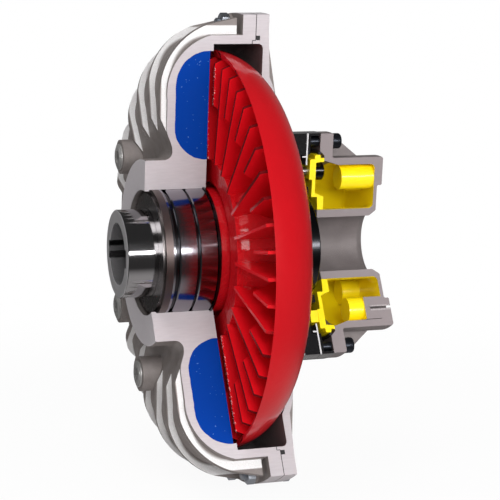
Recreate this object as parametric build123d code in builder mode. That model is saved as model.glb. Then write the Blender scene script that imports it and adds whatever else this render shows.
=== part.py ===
"""Fluid coupling with a delay chamber, built as a sectioned display unit.

The shaft axis is X. The plain shaft end points to -X and the delay chamber to +X. The origin is on
the axis, in the right-hand face of the outer wheel's hub. +Z is up. A turn about the shaft is
counted in degrees from +Z toward -Y. The casings keep only a part of the turn, so that the inner
wheel, the bearings and the inside of the delay chamber lie open on the -Y side.
"""
import os
from math import asin, cos, degrees, radians, sin, sqrt

from build123d import *

os.makedirs("parts", exist_ok=True)

# The sector that is cut away from every casing
CUT_START = 7.16
CUT_ANGLE = 144.0

# Clearances
SLIDE_FIT = 0.05
RUNNING_GAP = 0.4
BOLT_PLAY = 0.25
LIP_GAP = 0.1

# Proportions of socket screws to their thread
HEAD_SHARE = 0.8
SOCKET_SHARE = 0.78
SOCKET_DEPTH_SHARE = 0.5

# Working circuit
CIRCUIT_RADIUS = 198.0
CORNER_BREAK = 1.0

# Hollow shaft
SHAFT_BORE = 60.0
SHAFT_END = -88.0
SHAFT_OVERHANG = 3.5
SHAFT_BORE_DEPTH = 180.0
SHAFT_OD = 86.4
KEYWAY_WIDTH = 18.0
KEYWAY_DEPTH = 4.4
KEYWAYS = 2
KEYWAY_TURN = 92.0
FIXING_THREAD = 20.0
SHAFT_FLANGE_RADIUS = 67.0
SHAFT_FLANGE_THICKNESS = 12.0
SHAFT_BODY_RADIUS = 43.0
SHAFT_FILLET = 4.0
SHAFT_SHOULDER = 3.0

# Bearings: bore, outer diameter, width
LEFT_BORE = 90.0
LEFT_OD = 125.6
LEFT_WIDTH = 18.0
RIGHT_BORE = 75.0
RIGHT_OD = 105.0
RIGHT_WIDTH = 16.0
RIGHT_BEARING_SET_OUT = 1.0
RIGHT_RING = 1.7
RIGHT_RING_SEAT = 1.5
RIGHT_SEAL_WIDTH = 6.5
RACE_SHARE = 0.28
RACE_CHAMFER = 1.0
LEFT_RING_FLOOR = 3.4
LEFT_BALLS = 18
LEFT_CAGE = 14.0
RIGHT_RING_FLOOR = 3.0
RIGHT_BALLS = 16
RIGHT_CAGE = 12.0
GROOVE_PLAY = 0.12
GROOVE_SIDES = 8
CAGE_THICKNESS = 1.6
BEARING_SPACER = 2.2
SPACER_DROP = 2.4

# Rings in the bore of the outer wheel, from the right
RETAINING_RING = 2.1
RETAINING_RING_SET_BACK = 1.5
RETAINING_RING_HEIGHT = 5.0
RETAINING_RING_SEAT = 1.2
RING_GAP = 14.0
OIL_GROOVE = 4.2
SUPPORT_RING = 2.0
SUPPORT_RING_INNER = 50.0
SEAL_CASE_WIDTH = 7.2
SEAL_CASE_WALL = 2.0
SEAL_LIP_HEIGHT = 7.0
SEAL_COVER_DROP = 3.1

# Inner wheel
INNER_HUB_DROP = 0.8
INNER_GROOVE_WIDTH = 5.5
INNER_GROOVE_DEPTH = 6.0
INNER_FACE = 6.5
INNER_HUB_FACE = 26.0
INNER_HUB_COLLAR = 3.2
INNER_WEB = 12.0
INNER_WEB_RADIUS = 71.0
BOWL_CENTRE_X = 1.7
BOWL_INSIDE = 82.8
BOWL_RIM_PROUD = 0.1
BOWL_WALL = 6.6
BOWL_LIP = 7.1
LIP_SLANT = 0.55
INNER_VANES = 48
INNER_VANE = 3.0
INNER_VANE_TURN = 0.8
SHORT_VANE_RISE = 5.6
VANE_LIP_DROP = 4.0
WHEEL_SCREWS = 12
WHEEL_SCREW = 8.0
WHEEL_SCREW_CIRCLE = 56.5
WHEEL_SCREW_GRIP = 12.0

# Outer wheel
RING_SEAT_PLAY = 0.1
HUB_END = -62.0
HUB_RADIUS = 92.0
HUB_ROUND = 8.0
BORE_LIP_HEIGHT = 1.3
BORE_LIP_WIDTH = 4.5
POCKET_FRONT = 0.9
POCKET_DEPTH = 34.0
POCKET_INNER = 92.0
POCKET_CORNER = 32.5
POCKET_STEP = 3.3
CASING_STEP = 6.7
CASING_WALL = 8.2
OUTER_VANE_PITCH = 7.2
OUTER_VANE = 3.2
FLANGE_HEIGHT = 19.8
FLANGE_THICKNESS = 13.4
JOINT_SET_BACK = 7.8
SHOULDER_WALL = 8.5
SHOULDER_X = -27.3
SHOULDER_DROP = 16.9
BELLY_DROP = 47.0
BELLY_FOOT = 124.0
WAIST_X = -35.0

# Ribs on the outer wheel
FINS = 24
FIN_START = 4.5
FIN_THICKNESS = 6.5
FIN_GAP = 4.2
FIN_TOP_DROP = 4.0
FIN_SHOULDER_DROP = 10.0
FIN_ROUND_X = -33.4
FIN_ROUND_RISE = 3.2
FIN_SIDE_X = -47.8
FIN_SIDE_FOOT = 134.0
FIN_FOOT_X = -37.5
FIN_FOOT = 112.0

# Bosses with filler and fusible plugs
BOSS_TURNS = (192.0, 237.0, 312.0)
BOSS_CIRCLE = 129.0
BOSS_RADIUS = 17.5
BOSS_FACE = -60.0
PLUG_THREAD = 24.0
PLUG_HEAD = 27.0
PLUG_HEAD_HEIGHT = 3.0
PLUG_SOCKET = 12.0
PLUG_SOCKET_DEPTH = 9.0

# Cover shell
COVER_FLANGE = 13.2
COVER_SPIGOT = 3.4
SPIGOT_HEIGHT = 3.2
COVER_SET_BACK = 6.0
COVER_SLOPE = 8.0
COVER_ROUND = 5.0
COVER_WALL = 6.3
COVER_BOWL_GAP = 3.5
COVER_NECK_WALL = 11.0
COVER_RIB = 6.5
COVER_RIB_DROP = 16.0
COVER_RIB_SET_BACK = 10.7
O_RING = 4.4
O_RING_SET_OUT = 0.3

# Screws and nuts of the joint
JOINT_THREAD = 10.0
JOINT_HEX = 17.0
JOINT_HEAD_HEIGHT = 6.4
JOINT_NUT_HEIGHT = 8.4
JOINT_THREAD_END = 5.0
JOINT_SET_IN = 9.5
JOINT_PAD = 3.0
JOINT_PAD_RADIUS = 8.8

# Bearing carrier, baffle and spacer ring
RIM_RADIUS = 115.0
RIM_HEIGHT = 21.4
CARRIER_SET_OUT = 17.8
CARRIER_WIDTH = 16.5
CARRIER_WEB_SET_BACK = 3.0
CARRIER_WEB = 8.0
CARRIER_HUB_WALL = 8.5
CARRIER_SHOULDER = 3.0
CARRIER_LIP_HEIGHT = 4.0
CARRIER_SPIGOT = 2.5
CARRIER_SPIGOT_WALL = 6.0
CARRIER_SCREW = 6.0
CARRIER_SCREW_SET_IN = 6.0
CARRIER_SCREW_DEPTH = 12.0
BAFFLE_THICKNESS = 1.5
BAFFLE_INNER = 83.0
BAFFLE_LIP_RADIUS = 90.6
BAFFLE_LIP_WIDTH = 4.0
SPACER_WIDTH = 13.0
SPACER_WALL = 2.6
SPACER_WEB = 2.5

# Delay chamber
CHAMBER_FLANGE = 13.5
CHAMBER_FLANGE_DROP = 0.5
CHAMBER_WALL_RADIUS = 89.4
CHAMBER_CAVITY_RADIUS = 82.2
CHAMBER_LENGTH = 68.5
CHAMBER_RECESS = 5.0
CHAMBER_RECESS_RADIUS = 60.0
CHAMBER_END_WALL = 8.5
CHAMBER_BORE = 57.2
CHAMBER_BORE_WALL = 7.9
CHAMBER_FLARE = 7.0
CHAMBER_MOUTH_RADIUS = 97.0
CHAMBER_MOUTH_DEPTH = 5.0
CHAMBER_SEAT_RADIUS = 87.0
CHAMBER_SEAT_DEPTH = 20.0
CHAMBER_CORNER = 5.0
CHAMBER_ROOT = 2.5
GUSSET_THICKNESS = 7.0
GUSSET_DROP = 11.5
GUSSET_LENGTH = 21.0
GUSSET_END = 37.5
CHAMBER_SCREWS = 8
CHAMBER_SCREW = 10.0
CHAMBER_SCREW_SET_IN = 9.5
CHAMBER_SCREW_DEPTH = 10.0
INNER_BOSS_RADIUS = 12.5
INNER_BOSS_CIRCLE = 68.0
INNER_BOSS_LENGTH = 35.0
INNER_BOSS_TURNS = (163.0, 259.5, 356.0)

# Tapped bosses on the end face, where a driven part is fastened
FIXING_SCREW = 12.0
FIXING_CIRCLE = 70.0
FIXING_BOSS_RADIUS = 13.0
FIXING_BOSS_LENGTH = 27.5
FIXING_DEPTH = 22.0
FIXING_TURNS = (156.0, 216.0, 276.0, 336.0)

# Plate that closes the delay chamber
PLATE_SET_OUT = 10.0
PLATE_RADIUS = 88.5
PLATE_THICKNESS = 6.5
PLATE_RIM_RADIUS = 93.0
PLATE_RIM_START = 5.0
PLATE_RIM_WIDTH = 6.0
PLATE_RECESS_OUTER = 68.0
PLATE_RECESS_INNER = 50.0
PLATE_RECESS_DEPTH = 3.0
PLATE_HUB_START = 10.0
PLATE_HUB_WIDTH = 6.0
PLATE_HUB_STEP = 4.0
MOUTH_RING = 3.4
NOZZLE_BLOCK_CIRCLE = 75.0
NOZZLE_BLOCK_HEIGHT = 12.0
NOZZLE_BLOCK_WIDTH = 14.0
NOZZLE_BLOCK_LENGTH = 8.0
NOZZLE_BLOCK_TURNS = (157.0, 259.0)
NOZZLE_BORE = 4.0
NOZZLE_DIAMETER = 8.5
NOZZLE_HEAD = 7.0
VALVE_CIRCLE = 75.3
VALVE_TURN = -1.0
VALVE_DIAMETER = 18.5
VALVE_LENGTH = 10.0
VALVE_THREAD = 8.0
VALVE_DEPTH = 3.2
VALVE_SOCKET = 8.0

# Values that follow from those above
KEPT_START = CUT_START + CUT_ANGLE
KEPT_ANGLE = 360 - CUT_ANGLE
KEPT_END = KEPT_START + KEPT_ANGLE
BOWL_CENTRE_RADIUS = (CIRCUIT_RADIUS + BOWL_INSIDE) / 2
BOWL_OUTER = CIRCUIT_RADIUS + BOWL_RIM_PROUD - BOWL_CENTRE_RADIUS
SHORT_VANE_RADIUS = BOWL_CENTRE_RADIUS + SHORT_VANE_RISE
COVER_FACE = BOWL_CENTRE_X + BOWL_OUTER - COVER_SET_BACK
JOINT_FACE = COVER_FACE - JOINT_SET_BACK
CASING_BORE = CIRCUIT_RADIUS + CASING_STEP
SHOULDER_RADIUS = CASING_BORE + SHOULDER_WALL
SHOULDER_MIDDLE = SHOULDER_RADIUS - SHOULDER_DROP
BELLY_TOP = CIRCUIT_RADIUS - BELLY_DROP
FLANGE_RADIUS = SHOULDER_RADIUS + FLANGE_HEIGHT
JOINT_CIRCLE = FLANGE_RADIUS - JOINT_SET_IN
FIN_TOP = FLANGE_RADIUS - FIN_TOP_DROP
FIN_SHOULDER = FLANGE_RADIUS - FIN_SHOULDER_DROP
FIN_ROUND = SHOULDER_MIDDLE + FIN_ROUND_RISE
COVER_RIB_TOP = FLANGE_RADIUS - COVER_RIB_DROP
CHAMBER_FLANGE_RADIUS = RIM_RADIUS - CHAMBER_FLANGE_DROP
CHAMBER_SCREW_CIRCLE = RIM_RADIUS - CHAMBER_SCREW_SET_IN
CARRIER_SCREW_CIRCLE = RIM_RADIUS - CARRIER_SCREW_SET_IN
RIM_INNER = RIM_RADIUS - RIM_HEIGHT
GUSSET_RADIUS = CHAMBER_FLANGE_RADIUS - GUSSET_DROP
FLANGE_BACK = JOINT_FACE - FLANGE_THICKNESS
COVER_BACK = JOINT_FACE + COVER_FLANGE
BORE_RADIUS = SHAFT_BORE / 2
COVER_INNER = BOWL_OUTER + COVER_BOWL_GAP
COVER_OUTER = COVER_INNER + COVER_WALL
CARRIER_FACE = BOWL_CENTRE_X + COVER_OUTER + CARRIER_SET_OUT
RIM_END = CARRIER_FACE + CARRIER_WIDTH
SPACER_FACE = RIM_END + BAFFLE_THICKNESS
CHAMBER_FACE = SPACER_FACE + SPACER_WIDTH
CHAMBER_END = CHAMBER_FACE + CHAMBER_LENGTH
CHAMBER_CAVITY_END = CHAMBER_END - CHAMBER_END_WALL
INNER_BOSS_START = CHAMBER_CAVITY_END - INNER_BOSS_LENGTH
FIXING_BOSS_START = CHAMBER_END - FIXING_BOSS_LENGTH
RIGHT_BEARING_FACE = RIM_END + RIGHT_BEARING_SET_OUT
RIGHT_BEARING_START = RIGHT_BEARING_FACE - RIGHT_WIDTH
SHAFT_RIGHT_END = RIGHT_BEARING_FACE + SHAFT_OVERHANG


def along(turn):
    """Half plane through the axis at this turn: x along the shaft, y away from the axis."""
    angle = radians(turn)
    return Plane(origin=(0, 0, 0), x_dir=(1, 0, 0), z_dir=(0, -cos(angle), -sin(angle)))


def across(x):
    """Plane square to the shaft at x, whose polar angle is the turn."""
    return Plane(origin=(x, 0, 0), x_dir=(0, 0, 1), z_dir=(1, 0, 0))


def kept_turns(first, count, half_width):
    """Turns of a full pattern whose copies lie whole inside the kept part of the casings."""
    pitch = 360 / count
    turns = [first + index * pitch for index in range(2 * count)]
    return [turn for turn in turns if KEPT_START + half_width < turn < KEPT_END - half_width]


def clear_of_cuts(count, radius, half_width):
    """Evenly spaced turns whose first and last copies stand this far from the cut faces."""
    margin = degrees(asin(half_width / radius))
    pitch = (KEPT_ANGLE - 2 * margin) / (count - 1)
    return [KEPT_START + margin + index * pitch for index in range(count)]


def spot(radius, turn):
    """Location on a plane square to the shaft."""
    return Location(
        (radius * cos(radians(turn)), radius * sin(radians(turn)), 0),
        (0, 0, turn),
    )


def hexagon(across_flats):
    """Regular hexagon by its width across flats."""
    return RegularPolygon(across_flats / 2, 6, major_radius=False)


CHAMBER_TURNS = clear_of_cuts(
    CHAMBER_SCREWS, CHAMBER_SCREW_CIRCLE, HEAD_SHARE * CHAMBER_SCREW
)
GUSSET_TURNS = [(one + two) / 2 for one, two in zip(CHAMBER_TURNS, CHAMBER_TURNS[1:])]
CARRIER_TURNS = GUSSET_TURNS


def section(*corners, mode=Mode.ADD):
    """Face inside straight lines, each corner given as x, distance from the axis and its size.

    A corner up to the usual edge break is a chamfer, and a larger one is rounded.
    """
    with BuildSketch(Plane.XY) as face:
        with BuildLine():
            FilletPolyline(
                [(x, r) for x, r, size in corners],
                radius=[size if size > CORNER_BREAK else 0 for x, r, size in corners],
                close=True,
            )
        make_face()
        for x, r, size in corners:
            if 0 < size <= CORNER_BREAK:
                chamfer(face.vertices().sort_by_distance((x, r))[0], size)
    add(face.sketch_local, mode=mode)


def block(x0, x1, r0, r1, corner=0.0):
    """Face of a plain ring between two x values and two radii."""
    section((x0, r0, corner), (x1, r0, corner), (x1, r1, corner), (x0, r1, corner))


def reach(radius, offset):
    """Other leg of a right triangle, for a point on a circle at this offset from its centre."""
    return sqrt(radius**2 - offset**2)


# Places along the shaft
LEFT_RING_2 = -RETAINING_RING_SET_BACK - RETAINING_RING - LEFT_WIDTH
LEFT_RING_1 = LEFT_RING_2 - BEARING_SPACER - LEFT_WIDTH
OIL_GROOVE_START = LEFT_RING_1 - OIL_GROOVE
SUPPORT_RING_START = OIL_GROOVE_START - SUPPORT_RING
SEAL_CASE_START = SUPPORT_RING_START - SEAL_CASE_WIDTH
SEAL_START = HUB_END + BORE_LIP_WIDTH
SHAFT_STEP = LEFT_RING_1 - SHAFT_SHOULDER
SHAFT_FLANGE_END = INNER_HUB_FACE + SHAFT_FLANGE_THICKNESS
SHAFT_BORE_END = SHAFT_END + SHAFT_BORE_DEPTH
INNER_HUB_START = LEFT_RING_2 + LEFT_WIDTH
OUTER_WHEEL_BORE = LEFT_OD / 2 + RING_SEAT_PLAY
BORE_LIP = OUTER_WHEEL_BORE - BORE_LIP_HEIGHT
SEAL_COVER_RADIUS = BORE_LIP - SEAL_COVER_DROP
INNER_HUB_RADIUS = LEFT_OD / 2 - INNER_HUB_DROP
INNER_GROOVE_RADIUS = INNER_HUB_RADIUS + INNER_GROOVE_WIDTH
LEFT_RACE = RACE_SHARE * (LEFT_OD - LEFT_BORE) / 2
RIGHT_RACE = RACE_SHARE * (RIGHT_OD - RIGHT_BORE) / 2
LEFT_BALL = (LEFT_OD - LEFT_BORE) / 2 - 2 * LEFT_RING_FLOOR
RIGHT_BALL = (RIGHT_OD - RIGHT_BORE) / 2 - 2 * RIGHT_RING_FLOOR
LEFT_PITCH = (LEFT_OD + LEFT_BORE) / 4
RIGHT_PITCH = (RIGHT_OD + RIGHT_BORE) / 4


# Hollow shaft: plain end, bearing seat, flange for the inner wheel, journal and blind bore
with BuildPart() as hollow_shaft:
    with BuildSketch(Plane.XZ):
        section(
            (SHAFT_END, BORE_RADIUS, CORNER_BREAK),
            (SHAFT_END, SHAFT_OD / 2, CORNER_BREAK),
            (SHAFT_STEP, SHAFT_OD / 2, 0),
            (SHAFT_STEP, LEFT_BORE / 2, 0),
            (INNER_HUB_FACE, LEFT_BORE / 2, 0),
            (INNER_HUB_FACE, SHAFT_FLANGE_RADIUS, 0),
            (SHAFT_FLANGE_END, SHAFT_FLANGE_RADIUS, CORNER_BREAK),
            (SHAFT_FLANGE_END, SHAFT_BODY_RADIUS, SHAFT_FILLET),
            (RIGHT_BEARING_START, SHAFT_BODY_RADIUS, 0),
            (RIGHT_BEARING_START, RIGHT_BORE / 2, 0),
            (SHAFT_RIGHT_END, RIGHT_BORE / 2, CORNER_BREAK),
            (SHAFT_RIGHT_END, FIXING_THREAD / 2, 0),
            (SHAFT_BORE_END, FIXING_THREAD / 2, 0),
            (SHAFT_BORE_END, BORE_RADIUS, 0),
        )
    revolve(axis=Axis.X)
    with BuildSketch(Plane.XZ):
        block(
            RIGHT_BEARING_FACE,
            RIGHT_BEARING_FACE + RIGHT_RING,
            RIGHT_BORE / 2 - RIGHT_RING_SEAT,
            RIGHT_BORE / 2 + CORNER_BREAK,
        )
    revolve(axis=Axis.X, mode=Mode.SUBTRACT)
    with BuildSketch(across(SHAFT_END)):
        with PolarLocations(BORE_RADIUS, KEYWAYS, KEYWAY_TURN):
            Rectangle(2 * KEYWAY_DEPTH, KEYWAY_WIDTH)
    extrude(amount=SHAFT_BORE_DEPTH, mode=Mode.SUBTRACT)
    with BuildSketch(across(INNER_HUB_FACE)):
        with PolarLocations(WHEEL_SCREW_CIRCLE, WHEEL_SCREWS):
            Circle(WHEEL_SCREW / 2 + BOLT_PLAY)
    extrude(amount=SHAFT_FLANGE_THICKNESS, mode=Mode.SUBTRACT)

hollow_shaft.part.label = "hollow_shaft"
export_step(hollow_shaft.part, "parts/hollow_shaft.step")


# Inner wheel: a bowl that is part of a ring shell, on a hub that seats on the shaft
BOWL_INNER = BOWL_OUTER - BOWL_WALL
BOWL_MIDDLE = BOWL_OUTER - BOWL_WALL / 2
LIP_FRONT = BOWL_LIP + BOWL_WALL * LIP_SLANT
WEB_BACK = INNER_FACE + INNER_WEB
BOWL_FLOOR = BOWL_CENTRE_RADIUS - reach(BOWL_INNER, INNER_FACE - BOWL_CENTRE_X)
BOWL_FOOT = BOWL_CENTRE_RADIUS - reach(BOWL_OUTER, WEB_BACK - BOWL_CENTRE_X)


def bowl_arc(radius, start, end):
    """Arc round the bowl's ring centre, from the rim at one x to the hub side at another."""
    ThreePointArc(
        (start, BOWL_CENTRE_RADIUS + reach(radius, start - BOWL_CENTRE_X)),
        (BOWL_CENTRE_X + radius, BOWL_CENTRE_RADIUS),
        (end, BOWL_CENTRE_RADIUS - reach(radius, end - BOWL_CENTRE_X)),
    )


def vane_face():
    """Outline of a long inner vane, sunk half-way into the wall of the bowl."""
    foot = INNER_FACE + BOWL_WALL / 2
    top = LIP_FRONT + VANE_LIP_DROP
    lip_radius = BOWL_CENTRE_RADIUS + reach(BOWL_INNER, LIP_FRONT - BOWL_CENTRE_X)
    with BuildSketch(Plane.XY) as face:
        with BuildLine():
            bowl_arc(BOWL_MIDDLE, top, foot)
            Polyline(
                (foot, BOWL_CENTRE_RADIUS - reach(BOWL_MIDDLE, foot - BOWL_CENTRE_X)),
                (INNER_FACE, BOWL_FLOOR + CORNER_BREAK),
                (INNER_FACE, lip_radius - VANE_LIP_DROP),
                (top, BOWL_CENTRE_RADIUS + reach(BOWL_MIDDLE, top - BOWL_CENTRE_X)),
            )
        make_face()
    return face.sketch_local


INNER_VANE_FACE = vane_face()

with BuildPart() as inner_wheel:
    with BuildSketch(along(INNER_VANE_TURN + 180 / INNER_VANES)):
        with BuildLine():
            bowl_arc(BOWL_OUTER, BOWL_LIP, WEB_BACK)
            bowl_arc(BOWL_INNER, LIP_FRONT, INNER_FACE)
            Line(
                (BOWL_LIP, BOWL_CENTRE_RADIUS + reach(BOWL_OUTER, BOWL_LIP - BOWL_CENTRE_X)),
                (LIP_FRONT, BOWL_CENTRE_RADIUS + reach(BOWL_INNER, LIP_FRONT - BOWL_CENTRE_X)),
            )
            Polyline(
                (INNER_FACE, BOWL_FLOOR),
                (INNER_FACE, INNER_GROOVE_RADIUS),
                (INNER_FACE + INNER_GROOVE_DEPTH, INNER_GROOVE_RADIUS),
                (INNER_FACE + INNER_GROOVE_DEPTH, INNER_HUB_RADIUS),
                (INNER_HUB_START + INNER_HUB_COLLAR, INNER_HUB_RADIUS),
                (INNER_HUB_START + INNER_HUB_COLLAR, LEFT_BORE / 2 + LEFT_RACE),
                (INNER_HUB_START, LEFT_BORE / 2 + LEFT_RACE),
                (INNER_HUB_START, LEFT_BORE / 2),
                (INNER_HUB_FACE, LEFT_BORE / 2),
                (INNER_HUB_FACE, INNER_WEB_RADIUS),
                (WEB_BACK, INNER_WEB_RADIUS),
                (WEB_BACK, BOWL_FOOT),
            )
        make_face()
    revolve(axis=Axis.X)
    for index in range(INNER_VANES):
        with BuildSketch(along(INNER_VANE_TURN + index * 360 / INNER_VANES)):
            add(INNER_VANE_FACE)
            if index % 2:
                section(
                    (INNER_FACE, SHORT_VANE_RADIUS, 0),
                    (INNER_FACE + BOWL_OUTER, SHORT_VANE_RADIUS - BOWL_OUTER, 0),
                    (INNER_FACE, SHORT_VANE_RADIUS - BOWL_OUTER, 0),
                    mode=Mode.SUBTRACT,
                )
    extrude(amount=INNER_VANE / 2, both=True)
    with BuildSketch(across(INNER_HUB_FACE)):
        with PolarLocations(WHEEL_SCREW_CIRCLE, WHEEL_SCREWS):
            Circle(WHEEL_SCREW / 2 + SLIDE_FIT)
    extrude(amount=-WHEEL_SCREW_GRIP, mode=Mode.SUBTRACT)

inner_wheel.part.label = "inner_wheel"
export_step(inner_wheel.part, "parts/inner_wheel.step")


# Socket screws that hold the inner wheel to the shaft's flange
with BuildPart() as inner_wheel_screws:
    with BuildSketch(across(INNER_HUB_FACE - WHEEL_SCREW_GRIP)):
        with PolarLocations(WHEEL_SCREW_CIRCLE, WHEEL_SCREWS):
            Circle(WHEEL_SCREW / 2)
    extrude(amount=WHEEL_SCREW_GRIP + SHAFT_FLANGE_THICKNESS)
    with BuildSketch(across(SHAFT_FLANGE_END)):
        with PolarLocations(WHEEL_SCREW_CIRCLE, WHEEL_SCREWS):
            Circle(HEAD_SHARE * WHEEL_SCREW)
    extrude(amount=WHEEL_SCREW)
    with BuildSketch(across(SHAFT_FLANGE_END + WHEEL_SCREW)):
        with PolarLocations(WHEEL_SCREW_CIRCLE, WHEEL_SCREWS):
            hexagon(SOCKET_SHARE * WHEEL_SCREW)
    extrude(amount=-SOCKET_DEPTH_SHARE * WHEEL_SCREW, mode=Mode.SUBTRACT)

inner_wheel_screws.part.label = "inner_wheel_screws"
export_step(inner_wheel_screws.part, "parts/inner_wheel_screws.step")


# Outer wheel: cut casing with its vane pocket, vanes, ribs, bosses and joint flange
POCKET_FLOOR = -POCKET_DEPTH + POCKET_FRONT
BELLY_X = POCKET_FLOOR - CASING_WALL
SPIGOT_RADIUS = CASING_BORE + SPIGOT_HEIGHT
OUTER_VANE_COUNT = round(KEPT_ANGLE / OUTER_VANE_PITCH)
FIN_TURNS = kept_turns(FIN_START, FINS, degrees(FIN_THICKNESS / 2 / FIN_FOOT))
JOINT_TURNS = kept_turns(
    FIN_START + 180 / FINS, FINS, degrees(JOINT_HEX / 2 / JOINT_CIRCLE)
)
FIN_ROOT = POCKET_CORNER + CASING_WALL / 2
FIN_ROOT_X = POCKET_FLOOR + POCKET_CORNER
FIN_ROOT_RADIUS = CIRCUIT_RADIUS - POCKET_CORNER
NUT_FACE = FLANGE_BACK - JOINT_PAD
NUT_END = NUT_FACE - JOINT_NUT_HEIGHT


def joint_spots():
    """Locations of the joint screws on a plane square to the shaft."""
    return Locations(*[spot(JOINT_CIRCLE, turn) for turn in JOINT_TURNS])


with BuildPart() as outer_wheel:
    with BuildSketch(along(KEPT_START)):
        with BuildLine():
            Polyline(
                (BELLY_X, BELLY_FOOT),
                (BELLY_X, BELLY_TOP),
            )
            ThreePointArc(
                (BELLY_X, BELLY_TOP),
                (SHOULDER_X, SHOULDER_MIDDLE),
                (0, SHOULDER_RADIUS),
            )
            Polyline(
                (0, SHOULDER_RADIUS),
                (FLANGE_BACK, SHOULDER_RADIUS),
                (FLANGE_BACK, FLANGE_RADIUS),
                (JOINT_FACE, FLANGE_RADIUS),
                (JOINT_FACE, SPIGOT_RADIUS),
                (JOINT_FACE - COVER_SPIGOT, SPIGOT_RADIUS),
                (JOINT_FACE - COVER_SPIGOT, CASING_BORE),
                (POCKET_STEP, CASING_BORE),
                (POCKET_STEP, CIRCUIT_RADIUS),
                (0, CIRCUIT_RADIUS),
                (0, OUTER_WHEEL_BORE),
                (SEAL_START, OUTER_WHEEL_BORE),
                (SEAL_START, BORE_LIP),
                (HUB_END, BORE_LIP),
                (HUB_END, HUB_RADIUS - CORNER_BREAK),
                (HUB_END + CORNER_BREAK, HUB_RADIUS),
                (WAIST_X - HUB_ROUND, HUB_RADIUS),
            )
            CenterArc((WAIST_X - HUB_ROUND, HUB_RADIUS + HUB_ROUND), HUB_ROUND, 270, 90)
            Spline(
                (WAIST_X, HUB_RADIUS + HUB_ROUND),
                (BELLY_X, BELLY_FOOT),
                tangents=[(0, 1), (0, 1)],
            )
        make_face()
        section(
            (POCKET_FLOOR, POCKET_INNER, POCKET_CORNER),
            (POCKET_STEP + CORNER_BREAK, POCKET_INNER, 0),
            (POCKET_STEP + CORNER_BREAK, CIRCUIT_RADIUS, 0),
            (POCKET_FLOOR, CIRCUIT_RADIUS, POCKET_CORNER),
            mode=Mode.SUBTRACT,
        )
    revolve(axis=Axis.X, revolution_arc=KEPT_ANGLE)
    for index in range(OUTER_VANE_COUNT + 1):
        share = index / OUTER_VANE_COUNT
        vane_plane = along(KEPT_START + share * KEPT_ANGLE).offset(OUTER_VANE / 2 - share * OUTER_VANE)
        with BuildSketch(vane_plane):
            section(
                (POCKET_FLOOR - CORNER_BREAK, POCKET_INNER - CORNER_BREAK, POCKET_CORNER),
                (0, POCKET_INNER - CORNER_BREAK, 0),
                (0, CIRCUIT_RADIUS + CORNER_BREAK, 0),
                (POCKET_FLOOR - CORNER_BREAK, CIRCUIT_RADIUS + CORNER_BREAK, POCKET_CORNER),
            )
    extrude(amount=OUTER_VANE / 2, both=True)
    for turn in FIN_TURNS:
        with BuildSketch(along(turn)):
            with BuildLine():
                Polyline(
                    (FIN_FOOT_X, FIN_FOOT),
                    (FIN_SIDE_X, FIN_SIDE_FOOT),
                    (FIN_SIDE_X, BELLY_TOP),
                )
                ThreePointArc((FIN_SIDE_X, BELLY_TOP), (FIN_ROUND_X, FIN_ROUND), (0, FIN_SHOULDER))
                Polyline(
                    (0, FIN_SHOULDER),
                    (FLANGE_BACK - FIN_GAP, FIN_TOP),
                    (FLANGE_BACK - FIN_GAP, SHOULDER_RADIUS - CORNER_BREAK),
                    (FIN_ROOT_X, SHOULDER_RADIUS - CORNER_BREAK),
                    (FIN_ROOT_X, FIN_ROOT_RADIUS + FIN_ROOT),
                )
                CenterArc((FIN_ROOT_X, FIN_ROOT_RADIUS), FIN_ROOT, 90, 90)
                Polyline(
                    (FIN_ROOT_X - FIN_ROOT, FIN_ROOT_RADIUS),
                    (FIN_ROOT_X - FIN_ROOT, BELLY_FOOT),
                    (FIN_FOOT_X, FIN_FOOT),
                )
            make_face()
    extrude(amount=FIN_THICKNESS / 2, both=True)
    with BuildSketch(across(BOSS_FACE)):
        with Locations(*[spot(BOSS_CIRCLE, turn) for turn in BOSS_TURNS]):
            Circle(BOSS_RADIUS)
    extrude(amount=POCKET_FLOOR - CASING_WALL / 2 - BOSS_FACE)
    with BuildSketch(across(BOSS_FACE)):
        with Locations(*[spot(BOSS_CIRCLE, turn) for turn in BOSS_TURNS]):
            Circle(PLUG_THREAD / 2 + SLIDE_FIT)
    extrude(amount=POCKET_FLOOR - BOSS_FACE + CORNER_BREAK, mode=Mode.SUBTRACT)
    with BuildSketch(across(NUT_FACE)):
        with joint_spots():
            Circle(JOINT_PAD_RADIUS)
    extrude(amount=JOINT_PAD)
    with BuildSketch(across(NUT_FACE)):
        with joint_spots():
            Circle(JOINT_THREAD / 2 + BOLT_PLAY)
    extrude(amount=JOINT_FACE - NUT_FACE, mode=Mode.SUBTRACT)
    with BuildSketch(along(KEPT_START)):
        block(
            -RETAINING_RING_SET_BACK - RETAINING_RING - SLIDE_FIT,
            -RETAINING_RING_SET_BACK + SLIDE_FIT,
            OUTER_WHEEL_BORE - CORNER_BREAK,
            OUTER_WHEEL_BORE + RETAINING_RING_SEAT + SLIDE_FIT,
        )
    revolve(axis=Axis.X, revolution_arc=KEPT_ANGLE, mode=Mode.SUBTRACT)

outer_wheel.part.label = "outer_wheel"
export_step(outer_wheel.part, "parts/outer_wheel.step")


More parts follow.
